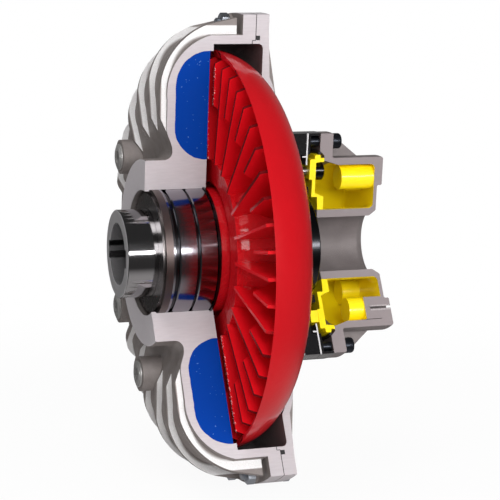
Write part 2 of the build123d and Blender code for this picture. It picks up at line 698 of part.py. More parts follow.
# Plugs in the bosses of the outer wheel
with BuildPart() as casing_plugs:
    with BuildSketch(across(BOSS_FACE)):
        with Locations(*[spot(BOSS_CIRCLE, turn) for turn in BOSS_TURNS]):
            Circle(PLUG_THREAD / 2)
    extrude(amount=POCKET_FLOOR - BOSS_FACE)
    with BuildSketch(across(BOSS_FACE)):
        with Locations(*[spot(BOSS_CIRCLE, turn) for turn in BOSS_TURNS]):
            Circle(PLUG_HEAD / 2)
    extrude(amount=-PLUG_HEAD_HEIGHT)
    with BuildSketch(across(BOSS_FACE - PLUG_HEAD_HEIGHT)):
        with Locations(*[spot(BOSS_CIRCLE, turn) for turn in BOSS_TURNS]):
            hexagon(PLUG_SOCKET)
    extrude(amount=PLUG_SOCKET_DEPTH, mode=Mode.SUBTRACT)

casing_plugs.part.label = "casing_plugs"
export_step(casing_plugs.part, "parts/casing_plugs.step")


# Cover shell: joint flange, wall that follows the inner wheel's bowl, neck for the carrier
NECK_INNER = RIM_RADIUS - COVER_NECK_WALL
O_RING_INNER = SPIGOT_RADIUS + O_RING_SET_OUT


def shell_point(radius, x):
    """Point at this x on the outer half of a circle round the bowl's ring centre."""
    return (x, BOWL_CENTRE_RADIUS + reach(radius, x - BOWL_CENTRE_X))


def shell_foot(radius, foot):
    """Point of the same circle at this distance from the shaft axis."""
    return (BOWL_CENTRE_X + reach(radius, BOWL_CENTRE_RADIUS - foot), foot)


with BuildPart() as cover_shell:
    with BuildSketch(along(KEPT_START)):
        with BuildLine():
            ThreePointArc(
                shell_point(COVER_INNER, COVER_FACE),
                (BOWL_CENTRE_X + COVER_INNER, BOWL_CENTRE_RADIUS),
                shell_foot(COVER_INNER, NECK_INNER),
            )
            ThreePointArc(
                shell_point(COVER_OUTER, COVER_FACE + COVER_SLOPE),
                (BOWL_CENTRE_X + COVER_OUTER, BOWL_CENTRE_RADIUS),
                shell_foot(COVER_OUTER, RIM_RADIUS),
            )
            Polyline(
                shell_foot(COVER_OUTER, RIM_RADIUS),
                (CARRIER_FACE, RIM_RADIUS),
                (CARRIER_FACE, NECK_INNER),
                shell_foot(COVER_INNER, NECK_INNER),
            )
            Polyline(
                shell_point(COVER_INNER, COVER_FACE),
                (COVER_FACE, CASING_BORE - COVER_ROUND),
            )
            CenterArc((COVER_FACE - COVER_ROUND, CASING_BORE - COVER_ROUND), COVER_ROUND, 0, 90)
            Polyline(
                (COVER_FACE - COVER_ROUND, CASING_BORE),
                (JOINT_FACE - COVER_SPIGOT, CASING_BORE),
                (JOINT_FACE - COVER_SPIGOT, SPIGOT_RADIUS - SLIDE_FIT),
                (JOINT_FACE, SPIGOT_RADIUS - SLIDE_FIT),
                (JOINT_FACE, FLANGE_RADIUS),
                (COVER_BACK, FLANGE_RADIUS),
                (COVER_BACK, COVER_RIB_TOP),
                shell_point(COVER_OUTER, COVER_FACE + COVER_SLOPE),
            )
        make_face()
    revolve(axis=Axis.X, revolution_arc=KEPT_ANGLE)
    for turn in FIN_TURNS:
        with BuildSketch(along(turn)):
            with BuildLine():
                root = (COVER_INNER + COVER_OUTER) / 2
                ThreePointArc(
                    shell_point(root, COVER_FACE + COVER_SLOPE / 2),
                    (BOWL_CENTRE_X + root, BOWL_CENTRE_RADIUS),
                    shell_foot(root, RIM_RADIUS - CORNER_BREAK),
                )
                Polyline(
                    shell_foot(root, RIM_RADIUS - CORNER_BREAK),
                    (CARRIER_FACE - COVER_RIB_SET_BACK, RIM_RADIUS - CORNER_BREAK),
                    (COVER_BACK, COVER_RIB_TOP),
                    (COVER_BACK - CORNER_BREAK, COVER_RIB_TOP),
                    shell_point(root, COVER_FACE + COVER_SLOPE / 2),
                )
            make_face()
    extrude(amount=COVER_RIB / 2, both=True)
    with BuildSketch(across(JOINT_FACE)):
        with joint_spots():
            Circle(JOINT_THREAD / 2 + BOLT_PLAY)
    extrude(amount=COVER_FLANGE, mode=Mode.SUBTRACT)
    with BuildSketch(along(KEPT_START)):
        block(
            JOINT_FACE - CORNER_BREAK,
            JOINT_FACE + O_RING,
            O_RING_INNER,
            O_RING_INNER + O_RING,
        )
    revolve(axis=Axis.X, revolution_arc=KEPT_ANGLE, mode=Mode.SUBTRACT)
    with BuildSketch(across(CARRIER_FACE)):
        with Locations(*[spot(CARRIER_SCREW_CIRCLE, turn) for turn in CARRIER_TURNS]):
            Circle(CARRIER_SCREW / 2 + SLIDE_FIT)
    extrude(amount=-CARRIER_SCREW_DEPTH, mode=Mode.SUBTRACT)

cover_shell.part.label = "cover_shell"
export_step(cover_shell.part, "parts/cover_shell.step")


# Seal ring in the joint
with BuildPart() as joint_o_ring:
    with BuildSketch(along(KEPT_START)):
        with Locations((JOINT_FACE + O_RING / 2, O_RING_INNER + O_RING / 2)):
            Circle(O_RING / 2)
    revolve(axis=Axis.X, revolution_arc=KEPT_ANGLE)

joint_o_ring.part.label = "joint_o_ring"
export_step(joint_o_ring.part, "parts/joint_o_ring.step")


# Hexagon screws and nuts of the joint
with BuildPart() as joint_screws:
    with BuildSketch(across(NUT_END - JOINT_THREAD_END)):
        with joint_spots():
            Circle(JOINT_THREAD / 2)
    extrude(amount=COVER_BACK - NUT_END + JOINT_THREAD_END)
    with BuildSketch(across(COVER_BACK)):
        with joint_spots():
            hexagon(JOINT_HEX)
    extrude(amount=JOINT_HEAD_HEIGHT)

joint_screws.part.label = "joint_screws"
export_step(joint_screws.part, "parts/joint_screws.step")

with BuildPart() as joint_nuts:
    with BuildSketch(across(NUT_END)):
        with joint_spots():
            hexagon(JOINT_HEX)
            Circle(JOINT_THREAD / 2 + SLIDE_FIT, mode=Mode.SUBTRACT)
    extrude(amount=JOINT_NUT_HEIGHT)

joint_nuts.part.label = "joint_nuts"
export_step(joint_nuts.part, "parts/joint_nuts.step")


# Left bearing: two rows of balls between whole rings
def race_groove(x, pitch, ball):
    """Outline round the ball that cuts the groove of both rings."""
    with Locations((x, pitch)):
        RegularPolygon(
            ball / 2 + GROOVE_PLAY,
            GROOVE_SIDES,
            major_radius=False,
            rotation=180 / GROOVE_SIDES,
            mode=Mode.SUBTRACT,
        )


with BuildPart() as left_bearing_inner_rings:
    with BuildSketch(Plane.XZ):
        for start in (LEFT_RING_1, LEFT_RING_2):
            block(start, start + LEFT_WIDTH, LEFT_BORE / 2, LEFT_BORE / 2 + LEFT_RACE, RACE_CHAMFER)
            race_groove(start + LEFT_WIDTH / 2, LEFT_PITCH, LEFT_BALL)
    revolve(axis=Axis.X)

left_bearing_inner_rings.part.label = "left_bearing_inner_rings"
export_step(left_bearing_inner_rings.part, "parts/left_bearing_inner_rings.step")

with BuildPart() as left_bearing_outer_rings:
    with BuildSketch(Plane.XZ):
        for start in (LEFT_RING_1, LEFT_RING_2):
            block(start, start + LEFT_WIDTH, LEFT_OD / 2 - LEFT_RACE, LEFT_OD / 2, RACE_CHAMFER)
            race_groove(start + LEFT_WIDTH / 2, LEFT_PITCH, LEFT_BALL)
    revolve(axis=Axis.X)

left_bearing_outer_rings.part.label = "left_bearing_outer_rings"
export_step(left_bearing_outer_rings.part, "parts/left_bearing_outer_rings.step")

with BuildPart() as left_bearing_inner_spacer:
    with BuildSketch(Plane.XZ):
        block(LEFT_RING_1 + LEFT_WIDTH, LEFT_RING_2, LEFT_BORE / 2, LEFT_BORE / 2 + LEFT_RACE)
    revolve(axis=Axis.X)

left_bearing_inner_spacer.part.label = "left_bearing_inner_spacer"
export_step(left_bearing_inner_spacer.part, "parts/left_bearing_inner_spacer.step")

with BuildPart() as left_bearing_outer_spacer:
    with BuildSketch(Plane.XZ):
        block(
            LEFT_RING_1 + LEFT_WIDTH,
            LEFT_RING_2,
            LEFT_OD / 2 - LEFT_RACE,
            LEFT_OD / 2 - SPACER_DROP,
        )
    revolve(axis=Axis.X)

left_bearing_outer_spacer.part.label = "left_bearing_outer_spacer"
export_step(left_bearing_outer_spacer.part, "parts/left_bearing_outer_spacer.step")


with BuildPart(*[across(x + LEFT_WIDTH / 2) for x in (LEFT_RING_1, LEFT_RING_2)]) as left_bearing_balls:
    with PolarLocations(LEFT_PITCH, LEFT_BALLS):
        Sphere(LEFT_BALL / 2)

left_bearing_balls.part.label = "left_bearing_balls"
export_step(left_bearing_balls.part, "parts/left_bearing_balls.step")

with BuildPart(*[across(x + LEFT_WIDTH / 2) for x in (LEFT_RING_1, LEFT_RING_2)]) as left_bearing_cages:
    Cylinder(LEFT_PITCH + CAGE_THICKNESS / 2, LEFT_CAGE)
    Cylinder(LEFT_PITCH - CAGE_THICKNESS / 2, LEFT_CAGE, mode=Mode.SUBTRACT)
    with PolarLocations(LEFT_PITCH, LEFT_BALLS):
        Box(2 * CAGE_THICKNESS, LEFT_BALL + GROOVE_PLAY, LEFT_BALL + GROOVE_PLAY, mode=Mode.SUBTRACT)

left_bearing_cages.part.label = "left_bearing_cages"
export_step(left_bearing_cages.part, "parts/left_bearing_cages.step")


# Rings that close the bore of the outer wheel on either side of the left bearing
with BuildPart() as left_retaining_ring:
    with BuildSketch(along(RING_GAP / 2)):
        block(
            -RETAINING_RING_SET_BACK - RETAINING_RING,
            -RETAINING_RING_SET_BACK,
            OUTER_WHEEL_BORE - RETAINING_RING_HEIGHT,
            OUTER_WHEEL_BORE + RETAINING_RING_SEAT,
        )
    revolve(axis=Axis.X, revolution_arc=360 - RING_GAP)

left_retaining_ring.part.label = "left_retaining_ring"
export_step(left_retaining_ring.part, "parts/left_retaining_ring.step")

with BuildPart() as left_wave_ring:
    with BuildSketch(Plane.XZ):
        block(OIL_GROOVE_START, LEFT_RING_1, LEFT_OD / 2 - LEFT_RACE, LEFT_OD / 2 - SPACER_DROP)
    revolve(axis=Axis.X)

left_wave_ring.part.label = "left_wave_ring"
export_step(left_wave_ring.part, "parts/left_wave_ring.step")

with BuildPart() as left_support_ring:
    with BuildSketch(Plane.XZ):
        block(SUPPORT_RING_START, OIL_GROOVE_START, SUPPORT_RING_INNER, LEFT_OD / 2)
    revolve(axis=Axis.X)

left_support_ring.part.label = "left_support_ring"
export_step(left_support_ring.part, "parts/left_support_ring.step")


# Left shaft seal: metal case, rubber lip and the cover disc in front of it
with BuildPart() as left_seal_case:
    with BuildSketch(Plane.XZ):
        section(
            (SEAL_CASE_START, SHAFT_OD / 2 + SEAL_LIP_HEIGHT, 0),
            (SEAL_CASE_START, LEFT_OD / 2, 0),
            (SUPPORT_RING_START, LEFT_OD / 2, 0),
            (SUPPORT_RING_START, LEFT_OD / 2 - SEAL_CASE_WALL, 0),
            (SEAL_CASE_START + SEAL_CASE_WALL, LEFT_OD / 2 - SEAL_CASE_WALL, 0),
            (SEAL_CASE_START + SEAL_CASE_WALL, SHAFT_OD / 2 + SEAL_LIP_HEIGHT, 0),
        )
    revolve(axis=Axis.X)

left_seal_case.part.label = "left_seal_case"
export_step(left_seal_case.part, "parts/left_seal_case.step")

with BuildPart() as left_seal_lip:
    with BuildSketch(Plane.XZ):
        section(
            (SEAL_CASE_START, SHAFT_OD / 2 + LIP_GAP, 0),
            (SEAL_CASE_START, SHAFT_OD / 2 + SEAL_LIP_HEIGHT, 0),
            (SEAL_CASE_START + SEAL_CASE_WALL, SHAFT_OD / 2 + SEAL_LIP_HEIGHT, 0),
            (SUPPORT_RING_START, SHAFT_OD / 2 + SEAL_CASE_WALL + LIP_GAP, 0),
            (SUPPORT_RING_START, SHAFT_OD / 2 + LIP_GAP, 0),
        )
    revolve(axis=Axis.X)

left_seal_lip.part.label = "left_seal_lip"
export_step(left_seal_lip.part, "parts/left_seal_lip.step")

with BuildPart() as left_seal_cover:
    with BuildSketch(Plane.XZ):
        block(SEAL_START, SEAL_CASE_START, SHAFT_OD / 2 + RUNNING_GAP, SEAL_COVER_RADIUS)
    revolve(axis=Axis.X)

left_seal_cover.part.label = "left_seal_cover"
export_step(left_seal_cover.part, "parts/left_seal_cover.step")


# Right bearing with its seal and retaining rings
with BuildPart() as right_bearing_inner_ring:
    with BuildSketch(Plane.XZ):
        block(
            RIGHT_BEARING_START,
            RIGHT_BEARING_FACE,
            RIGHT_BORE / 2,
            RIGHT_BORE / 2 + RIGHT_RACE,
            RACE_CHAMFER,
        )
        race_groove(RIGHT_BEARING_FACE - RIGHT_WIDTH / 2, RIGHT_PITCH, RIGHT_BALL)
    revolve(axis=Axis.X)

right_bearing_inner_ring.part.label = "right_bearing_inner_ring"
export_step(right_bearing_inner_ring.part, "parts/right_bearing_inner_ring.step")

with BuildPart() as right_bearing_outer_ring:
    with BuildSketch(Plane.XZ):
        block(
            RIGHT_BEARING_START,
            RIGHT_BEARING_FACE,
            RIGHT_OD / 2 - RIGHT_RACE,
            RIGHT_OD / 2,
            RACE_CHAMFER,
        )
        race_groove(RIGHT_BEARING_FACE - RIGHT_WIDTH / 2, RIGHT_PITCH, RIGHT_BALL)
    revolve(axis=Axis.X)

right_bearing_outer_ring.part.label = "right_bearing_outer_ring"
export_step(right_bearing_outer_ring.part, "parts/right_bearing_outer_ring.step")

with BuildPart(across(RIGHT_BEARING_FACE - RIGHT_WIDTH / 2)) as right_bearing_balls:
    with PolarLocations(RIGHT_PITCH, RIGHT_BALLS):
        Sphere(RIGHT_BALL / 2)

right_bearing_balls.part.label = "right_bearing_balls"
export_step(right_bearing_balls.part, "parts/right_bearing_balls.step")

with BuildPart(across(RIGHT_BEARING_FACE - RIGHT_WIDTH / 2)) as right_bearing_cage:
    Cylinder(RIGHT_PITCH + CAGE_THICKNESS / 2, RIGHT_CAGE)
    Cylinder(RIGHT_PITCH - CAGE_THICKNESS / 2, RIGHT_CAGE, mode=Mode.SUBTRACT)
    with PolarLocations(RIGHT_PITCH, RIGHT_BALLS):
        Box(2 * CAGE_THICKNESS, RIGHT_BALL + GROOVE_PLAY, RIGHT_BALL + GROOVE_PLAY, mode=Mode.SUBTRACT)

right_bearing_cage.part.label = "right_bearing_cage"
export_step(right_bearing_cage.part, "parts/right_bearing_cage.step")

with BuildPart() as shaft_retaining_ring:
    with BuildSketch(along(RING_GAP / 2)):
        block(
            RIGHT_BEARING_FACE,
            RIGHT_BEARING_FACE + RIGHT_RING - SLIDE_FIT,
            RIGHT_BORE / 2 - RIGHT_RING_SEAT + SLIDE_FIT,
            RIGHT_BORE / 2 + RIGHT_RACE - CORNER_BREAK,
        )
    revolve(axis=Axis.X, revolution_arc=360 - RING_GAP)

shaft_retaining_ring.part.label = "shaft_retaining_ring"
export_step(shaft_retaining_ring.part, "parts/shaft_retaining_ring.step")

with BuildPart() as right_shaft_seal:
    with BuildSketch(Plane.XZ):
        block(
            RIGHT_BEARING_START - RIGHT_SEAL_WIDTH,
            RIGHT_BEARING_START - SLIDE_FIT,
            SHAFT_BODY_RADIUS + LIP_GAP,
            RIGHT_OD / 2,
        )
    revolve(axis=Axis.X)

right_shaft_seal.part.label = "right_shaft_seal"
export_step(right_shaft_seal.part, "parts/right_shaft_seal.step")


# Bearing carrier: hub round the right bearing, web and rim screwed to the neck of the cover
CARRIER_BORE = RIGHT_OD / 2 + SLIDE_FIT
CARRIER_HUB = CARRIER_BORE + CARRIER_HUB_WALL
CARRIER_LIP = RIGHT_BEARING_START - RIGHT_SEAL_WIDTH
CARRIER_HUB_START = CARRIER_LIP - CARRIER_SHOULDER
WEB_START = CARRIER_FACE + CARRIER_WEB_SET_BACK
WEB_END = WEB_START + CARRIER_WEB
SCREW_HEAD_SEAT = RIM_END - CARRIER_SCREW

with BuildPart() as bearing_carrier:
    with BuildSketch(along(KEPT_START)):
        section(
            (CARRIER_HUB_START, SHAFT_BODY_RADIUS + CARRIER_LIP_HEIGHT, 0),
            (CARRIER_HUB_START, CARRIER_HUB, CORNER_BREAK),
            (WEB_START, CARRIER_HUB, 0),
            (WEB_START, NECK_INNER - CARRIER_SPIGOT_WALL, 0),
            (CARRIER_FACE - CARRIER_SPIGOT, NECK_INNER - CARRIER_SPIGOT_WALL, 0),
            (CARRIER_FACE - CARRIER_SPIGOT, NECK_INNER - SLIDE_FIT, 0),
            (CARRIER_FACE, NECK_INNER - SLIDE_FIT, 0),
            (CARRIER_FACE, RIM_RADIUS, 0),
            (RIM_END, RIM_RADIUS, 0),
            (RIM_END, RIM_INNER, 0),
            (WEB_END, RIM_INNER, 0),
            (WEB_END, CARRIER_HUB, 0),
            (RIGHT_BEARING_FACE + CARRIER_SHOULDER, CARRIER_HUB, CORNER_BREAK),
            (RIGHT_BEARING_FACE + CARRIER_SHOULDER, CARRIER_BORE, 0),
            (CARRIER_LIP, CARRIER_BORE, 0),
            (CARRIER_LIP, SHAFT_BODY_RADIUS + CARRIER_LIP_HEIGHT, 0),
        )
    revolve(axis=Axis.X, revolution_arc=KEPT_ANGLE)
    with BuildSketch(across(CARRIER_FACE)):
        with Locations(*[spot(CARRIER_SCREW_CIRCLE, turn) for turn in CARRIER_TURNS]):
            Circle(CARRIER_SCREW / 2 + BOLT_PLAY)
    extrude(amount=CARRIER_WIDTH, mode=Mode.SUBTRACT)
    with BuildSketch(across(SCREW_HEAD_SEAT)):
        with Locations(*[spot(CARRIER_SCREW_CIRCLE, turn) for turn in CARRIER_TURNS]):
            Circle(HEAD_SHARE * CARRIER_SCREW + BOLT_PLAY)
    extrude(amount=CARRIER_SCREW, mode=Mode.SUBTRACT)
    with BuildSketch(across(RIM_END)):
        with Locations(*[spot(CHAMBER_SCREW_CIRCLE, turn) for turn in CHAMBER_TURNS]):
            Circle(CHAMBER_SCREW / 2 + SLIDE_FIT)
    extrude(amount=-CHAMBER_SCREW_DEPTH, mode=Mode.SUBTRACT)

bearing_carrier.part.label = "bearing_carrier"
export_step(bearing_carrier.part, "parts/bearing_carrier.step")

with BuildPart() as carrier_screws:
    with BuildSketch(across(CARRIER_FACE - CARRIER_SCREW_DEPTH)):
        with Locations(*[spot(CARRIER_SCREW_CIRCLE, turn) for turn in CARRIER_TURNS]):
            Circle(CARRIER_SCREW / 2)
    extrude(amount=SCREW_HEAD_SEAT - CARRIER_FACE + CARRIER_SCREW_DEPTH)
    with BuildSketch(across(SCREW_HEAD_SEAT)):
        with Locations(*[spot(CARRIER_SCREW_CIRCLE, turn) for turn in CARRIER_TURNS]):
            Circle(HEAD_SHARE * CARRIER_SCREW)
    extrude(amount=CARRIER_SCREW)
    with BuildSketch(across(RIM_END)):
        with Locations(*[spot(CARRIER_SCREW_CIRCLE, turn) for turn in CARRIER_TURNS]):
            hexagon(SOCKET_SHARE * CARRIER_SCREW)
    extrude(amount=-SOCKET_DEPTH_SHARE * CARRIER_SCREW, mode=Mode.SUBTRACT)

carrier_screws.part.label = "carrier_screws"
export_step(carrier_screws.part, "parts/carrier_screws.step")


# Sheet-metal baffle and spacer ring between the carrier and the delay chamber
def chamber_screw_holes():
    """Clearance holes of the delay chamber's screws."""
    with Locations(*[spot(CHAMBER_SCREW_CIRCLE, turn) for turn in CHAMBER_TURNS]):
        Circle(CHAMBER_SCREW / 2 + BOLT_PLAY)


with BuildPart() as baffle_ring:
    with BuildSketch(along(KEPT_START)):
        section(
            (RIM_END, RIM_RADIUS, 0),
            (SPACER_FACE, RIM_RADIUS, 0),
            (SPACER_FACE, BAFFLE_INNER, 0),
            (RIM_END, BAFFLE_INNER, 0),
            (RIM_END, BAFFLE_LIP_RADIUS, 0),
            (RIM_END - BAFFLE_LIP_WIDTH, BAFFLE_LIP_RADIUS, 0),
            (RIM_END - BAFFLE_LIP_WIDTH, BAFFLE_LIP_RADIUS + BAFFLE_THICKNESS, 0),
            (RIM_END, BAFFLE_LIP_RADIUS + BAFFLE_THICKNESS, 0),
        )
    revolve(axis=Axis.X, revolution_arc=KEPT_ANGLE)
    with BuildSketch(across(RIM_END)):
        chamber_screw_holes()
    extrude(amount=BAFFLE_THICKNESS, mode=Mode.SUBTRACT)

baffle_ring.part.label = "baffle_ring"
export_step(baffle_ring.part, "parts/baffle_ring.step")

with BuildPart() as spacer_ring:
    with BuildSketch(along(KEPT_START)):
        section(
            (SPACER_FACE, RIM_INNER, 0),
            (SPACER_FACE, RIM_RADIUS, 0),
            (CHAMBER_FACE, RIM_RADIUS, 0),
            (CHAMBER_FACE, RIM_RADIUS - SPACER_WALL, 0),
            (SPACER_FACE + SPACER_WEB, RIM_RADIUS - SPACER_WALL, 0),
            (SPACER_FACE + SPACER_WEB, RIM_INNER, 0),
        )
    revolve(axis=Axis.X, revolution_arc=KEPT_ANGLE)
    with BuildSketch(across(SPACER_FACE)):
        chamber_screw_holes()
    extrude(amount=SPACER_WEB, mode=Mode.SUBTRACT)

spacer_ring.part.label = "spacer_ring"
export_step(spacer_ring.part, "parts/spacer_ring.step")


# Delay chamber: cast ring trough with a joint flange, gussets, bosses and an open bore
CHAMBER_SHOULDER = CHAMBER_FACE + CHAMBER_FLANGE
CAVITY_INNER = CHAMBER_BORE / 2 + CHAMBER_BORE_WALL
BORE_WALL_END = CHAMBER_END - CHAMBER_RECESS
MOUTH_END = CHAMBER_FACE + CHAMBER_MOUTH_DEPTH

with BuildPart() as delay_chamber:
    with BuildSketch(along(KEPT_START)):
        section(
            (CHAMBER_FACE, CHAMBER_MOUTH_RADIUS, 0),
            (CHAMBER_FACE, CHAMBER_FLANGE_RADIUS, 0),
            (CHAMBER_SHOULDER, CHAMBER_FLANGE_RADIUS, CORNER_BREAK),
            (CHAMBER_SHOULDER, CHAMBER_WALL_RADIUS, CHAMBER_ROOT),
            (CHAMBER_END, CHAMBER_WALL_RADIUS, CHAMBER_ROOT),
            (CHAMBER_END, CHAMBER_RECESS_RADIUS, CORNER_BREAK),
            (BORE_WALL_END, CHAMBER_RECESS_RADIUS, CORNER_BREAK),
            (BORE_WALL_END, CAVITY_INNER - CHAMBER_ROOT, CHAMBER_ROOT),
            (BORE_WALL_END - CHAMBER_FLARE, CHAMBER_BORE / 2, CHAMBER_FLARE / 2),
            (CHAMBER_FACE, CHAMBER_BORE / 2, 0),
            (CHAMBER_FACE, CAVITY_INNER, 0),
            (CHAMBER_CAVITY_END, CAVITY_INNER, CHAMBER_CORNER),
            (CHAMBER_CAVITY_END, CHAMBER_CAVITY_RADIUS, CHAMBER_CORNER),
            (CHAMBER_FACE + CHAMBER_SEAT_DEPTH, CHAMBER_CAVITY_RADIUS, CHAMBER_CORNER),
            (MOUTH_END, CHAMBER_SEAT_RADIUS, 0),
            (MOUTH_END, CHAMBER_MOUTH_RADIUS - CHAMBER_MOUTH_DEPTH, 0),
        )
    revolve(axis=Axis.X, revolution_arc=KEPT_ANGLE)
    for turn in GUSSET_TURNS:
        with BuildSketch(along(turn)):
            section(
                (CHAMBER_SHOULDER - CORNER_BREAK, CHAMBER_WALL_RADIUS - CORNER_BREAK, 0),
                (CHAMBER_SHOULDER - CORNER_BREAK, GUSSET_RADIUS, 0),
                (CHAMBER_SHOULDER + GUSSET_LENGTH, GUSSET_RADIUS, CHAMBER_ROOT),
                (CHAMBER_SHOULDER + GUSSET_END, CHAMBER_WALL_RADIUS - CORNER_BREAK, 0),
            )
    extrude(amount=GUSSET_THICKNESS / 2, both=True)
    with BuildSketch(across(INNER_BOSS_START)):
        with Locations(*[spot(INNER_BOSS_CIRCLE, turn) for turn in INNER_BOSS_TURNS]):
            Circle(INNER_BOSS_RADIUS)
    extrude(amount=CHAMBER_CAVITY_END + CORNER_BREAK - INNER_BOSS_START)
    with BuildSketch(across(FIXING_BOSS_START)):
        with Locations(*[spot(FIXING_CIRCLE, turn) for turn in FIXING_TURNS]):
            Circle(FIXING_BOSS_RADIUS)
    extrude(amount=CHAMBER_CAVITY_END + CORNER_BREAK - FIXING_BOSS_START)
    with BuildSketch(across(CHAMBER_END)):
        with Locations(*[spot(FIXING_CIRCLE, turn) for turn in FIXING_TURNS]):
            Circle(FIXING_SCREW / 2)
    extrude(amount=-FIXING_DEPTH, mode=Mode.SUBTRACT)
    with BuildSketch(across(CHAMBER_FACE)):
        chamber_screw_holes()
    extrude(amount=CHAMBER_FLANGE, mode=Mode.SUBTRACT)
    with BuildSketch(along(CUT_START)):
        block(INNER_BOSS_START, CHAMBER_END, CAVITY_INNER, CHAMBER_WALL_RADIUS)
    revolve(axis=Axis.X, revolution_arc=CUT_ANGLE, mode=Mode.SUBTRACT)

delay_chamber.part.label = "delay_chamber"
export_step(delay_chamber.part, "parts/delay_chamber.step")

with BuildPart() as chamber_screws:
    with BuildSketch(across(RIM_END - CHAMBER_SCREW_DEPTH)):
        with Locations(*[spot(CHAMBER_SCREW_CIRCLE, turn) for turn in CHAMBER_TURNS]):
            Circle(CHAMBER_SCREW / 2)
    extrude(amount=CHAMBER_SHOULDER - RIM_END + CHAMBER_SCREW_DEPTH)
    with BuildSketch(across(CHAMBER_SHOULDER)):
        with Locations(*[spot(CHAMBER_SCREW_CIRCLE, turn) for turn in CHAMBER_TURNS]):
            Circle(HEAD_SHARE * CHAMBER_SCREW)
    extrude(amount=CHAMBER_SCREW)
    with BuildSketch(across(CHAMBER_SHOULDER + CHAMBER_SCREW)):
        with Locations(*[spot(CHAMBER_SCREW_CIRCLE, turn) for turn in CHAMBER_TURNS]):
            hexagon(SOCKET_SHARE * CHAMBER_SCREW)
    extrude(amount=-SOCKET_DEPTH_SHARE * CHAMBER_SCREW, mode=Mode.SUBTRACT)

chamber_screws.part.label = "chamber_screws"
export_step(chamber_screws.part, "parts/chamber_screws.step")


# Plate that closes the delay chamber, with its nozzle blocks
PLATE_FACE = CHAMBER_FACE - PLATE_SET_OUT
PLATE_BACK = PLATE_FACE + PLATE_THICKNESS
PLATE_RIM = PLATE_FACE + PLATE_RIM_START
PLATE_HUB = PLATE_FACE + PLATE_HUB_START
PLATE_BORE = CAVITY_INNER + RUNNING_GAP
PLATE_SPIGOT = CHAMBER_SEAT_RADIUS - CORNER_BREAK

with BuildPart() as chamber_plate:
    with BuildSketch(along(KEPT_START)):
        section(
            (PLATE_FACE, PLATE_RECESS_OUTER, 0),
            (PLATE_FACE, PLATE_RADIUS, CORNER_BREAK),
            (PLATE_RIM, PLATE_RADIUS, 0),
            (PLATE_RIM, PLATE_RIM_RADIUS, CORNER_BREAK),
            (PLATE_RIM + PLATE_RIM_WIDTH, PLATE_RIM_RADIUS, CORNER_BREAK),
            (PLATE_RIM + PLATE_RIM_WIDTH, PLATE_RADIUS + CORNER_BREAK, 0),
            (MOUTH_END, PLATE_RADIUS + CORNER_BREAK, 0),
            (MOUTH_END, PLATE_SPIGOT, 0),
            (PLATE_BACK, PLATE_SPIGOT - CORNER_BREAK, 0),
            (PLATE_BACK, PLATE_RECESS_INNER + PLATE_HUB_STEP, 0),
            (PLATE_HUB + PLATE_HUB_WIDTH, PLATE_RECESS_INNER, 0),
            (PLATE_HUB + PLATE_HUB_WIDTH, PLATE_BORE, 0),
            (PLATE_HUB, PLATE_BORE, 0),
            (PLATE_HUB - CORNER_BREAK, PLATE_RECESS_INNER, 0),
            (PLATE_FACE + PLATE_RECESS_DEPTH, PLATE_RECESS_INNER, 0),
            (PLATE_FACE + PLATE_RECESS_DEPTH, PLATE_RECESS_OUTER, 0),
        )
    revolve(axis=Axis.X, revolution_arc=KEPT_ANGLE)
    with BuildSketch(across(PLATE_FACE - NOZZLE_BLOCK_LENGTH)):
        with Locations(*[spot(NOZZLE_BLOCK_CIRCLE, turn) for turn in NOZZLE_BLOCK_TURNS]):
            Rectangle(NOZZLE_BLOCK_HEIGHT, NOZZLE_BLOCK_WIDTH)
    extrude(amount=NOZZLE_BLOCK_LENGTH + CORNER_BREAK)
    with BuildSketch(across(PLATE_FACE - NOZZLE_BLOCK_LENGTH)):
        with Locations(*[spot(NOZZLE_BLOCK_CIRCLE, turn) for turn in NOZZLE_BLOCK_TURNS]):
            Circle(NOZZLE_BORE / 2)
    extrude(amount=PLATE_BACK - PLATE_FACE + NOZZLE_BLOCK_LENGTH, mode=Mode.SUBTRACT)
    with BuildSketch(across(PLATE_FACE)):
        with Locations(spot(VALVE_CIRCLE, VALVE_TURN)):
            Circle(VALVE_THREAD / 2 + SLIDE_FIT)
    extrude(amount=PLATE_THICKNESS, mode=Mode.SUBTRACT)

chamber_plate.part.label = "chamber_plate"
export_step(chamber_plate.part, "parts/chamber_plate.step")


# Seal ring squeezed between the plate's rim and the chamfered mouth of the chamber
MOUTH_RING_RADIUS = PLATE_RIM_RADIUS + MOUTH_RING / 2
MOUTH_RING_X = CHAMBER_FACE + CHAMBER_MOUTH_RADIUS - MOUTH_RING_RADIUS - MOUTH_RING / sqrt(2)

with BuildPart() as chamber_o_ring:
    with BuildSketch(along(KEPT_START)):
        with Locations((MOUTH_RING_X, MOUTH_RING_RADIUS)):
            Circle(MOUTH_RING / 2)
    revolve(axis=Axis.X, revolution_arc=KEPT_ANGLE)

chamber_o_ring.part.label = "chamber_o_ring"
export_step(chamber_o_ring.part, "parts/chamber_o_ring.step")


# Nozzle screwed into the front of the plate, and the filling valve behind it in the same hole
with BuildPart() as nozzle_screw:
    with BuildSketch(across(PLATE_FACE - NOZZLE_HEAD)):
        with Locations(spot(VALVE_CIRCLE, VALVE_TURN)):
            Circle(NOZZLE_DIAMETER / 2)
    extrude(amount=NOZZLE_HEAD)
    with BuildSketch(across(PLATE_FACE)):
        with Locations(spot(VALVE_CIRCLE, VALVE_TURN)):
            Circle(VALVE_THREAD / 2)
    extrude(amount=VALVE_DEPTH)
    with BuildSketch(across(PLATE_FACE - NOZZLE_HEAD)):
        with Locations(spot(VALVE_CIRCLE, VALVE_TURN)):
            Circle(NOZZLE_BORE / 2)
    extrude(amount=NOZZLE_HEAD + VALVE_DEPTH, mode=Mode.SUBTRACT)

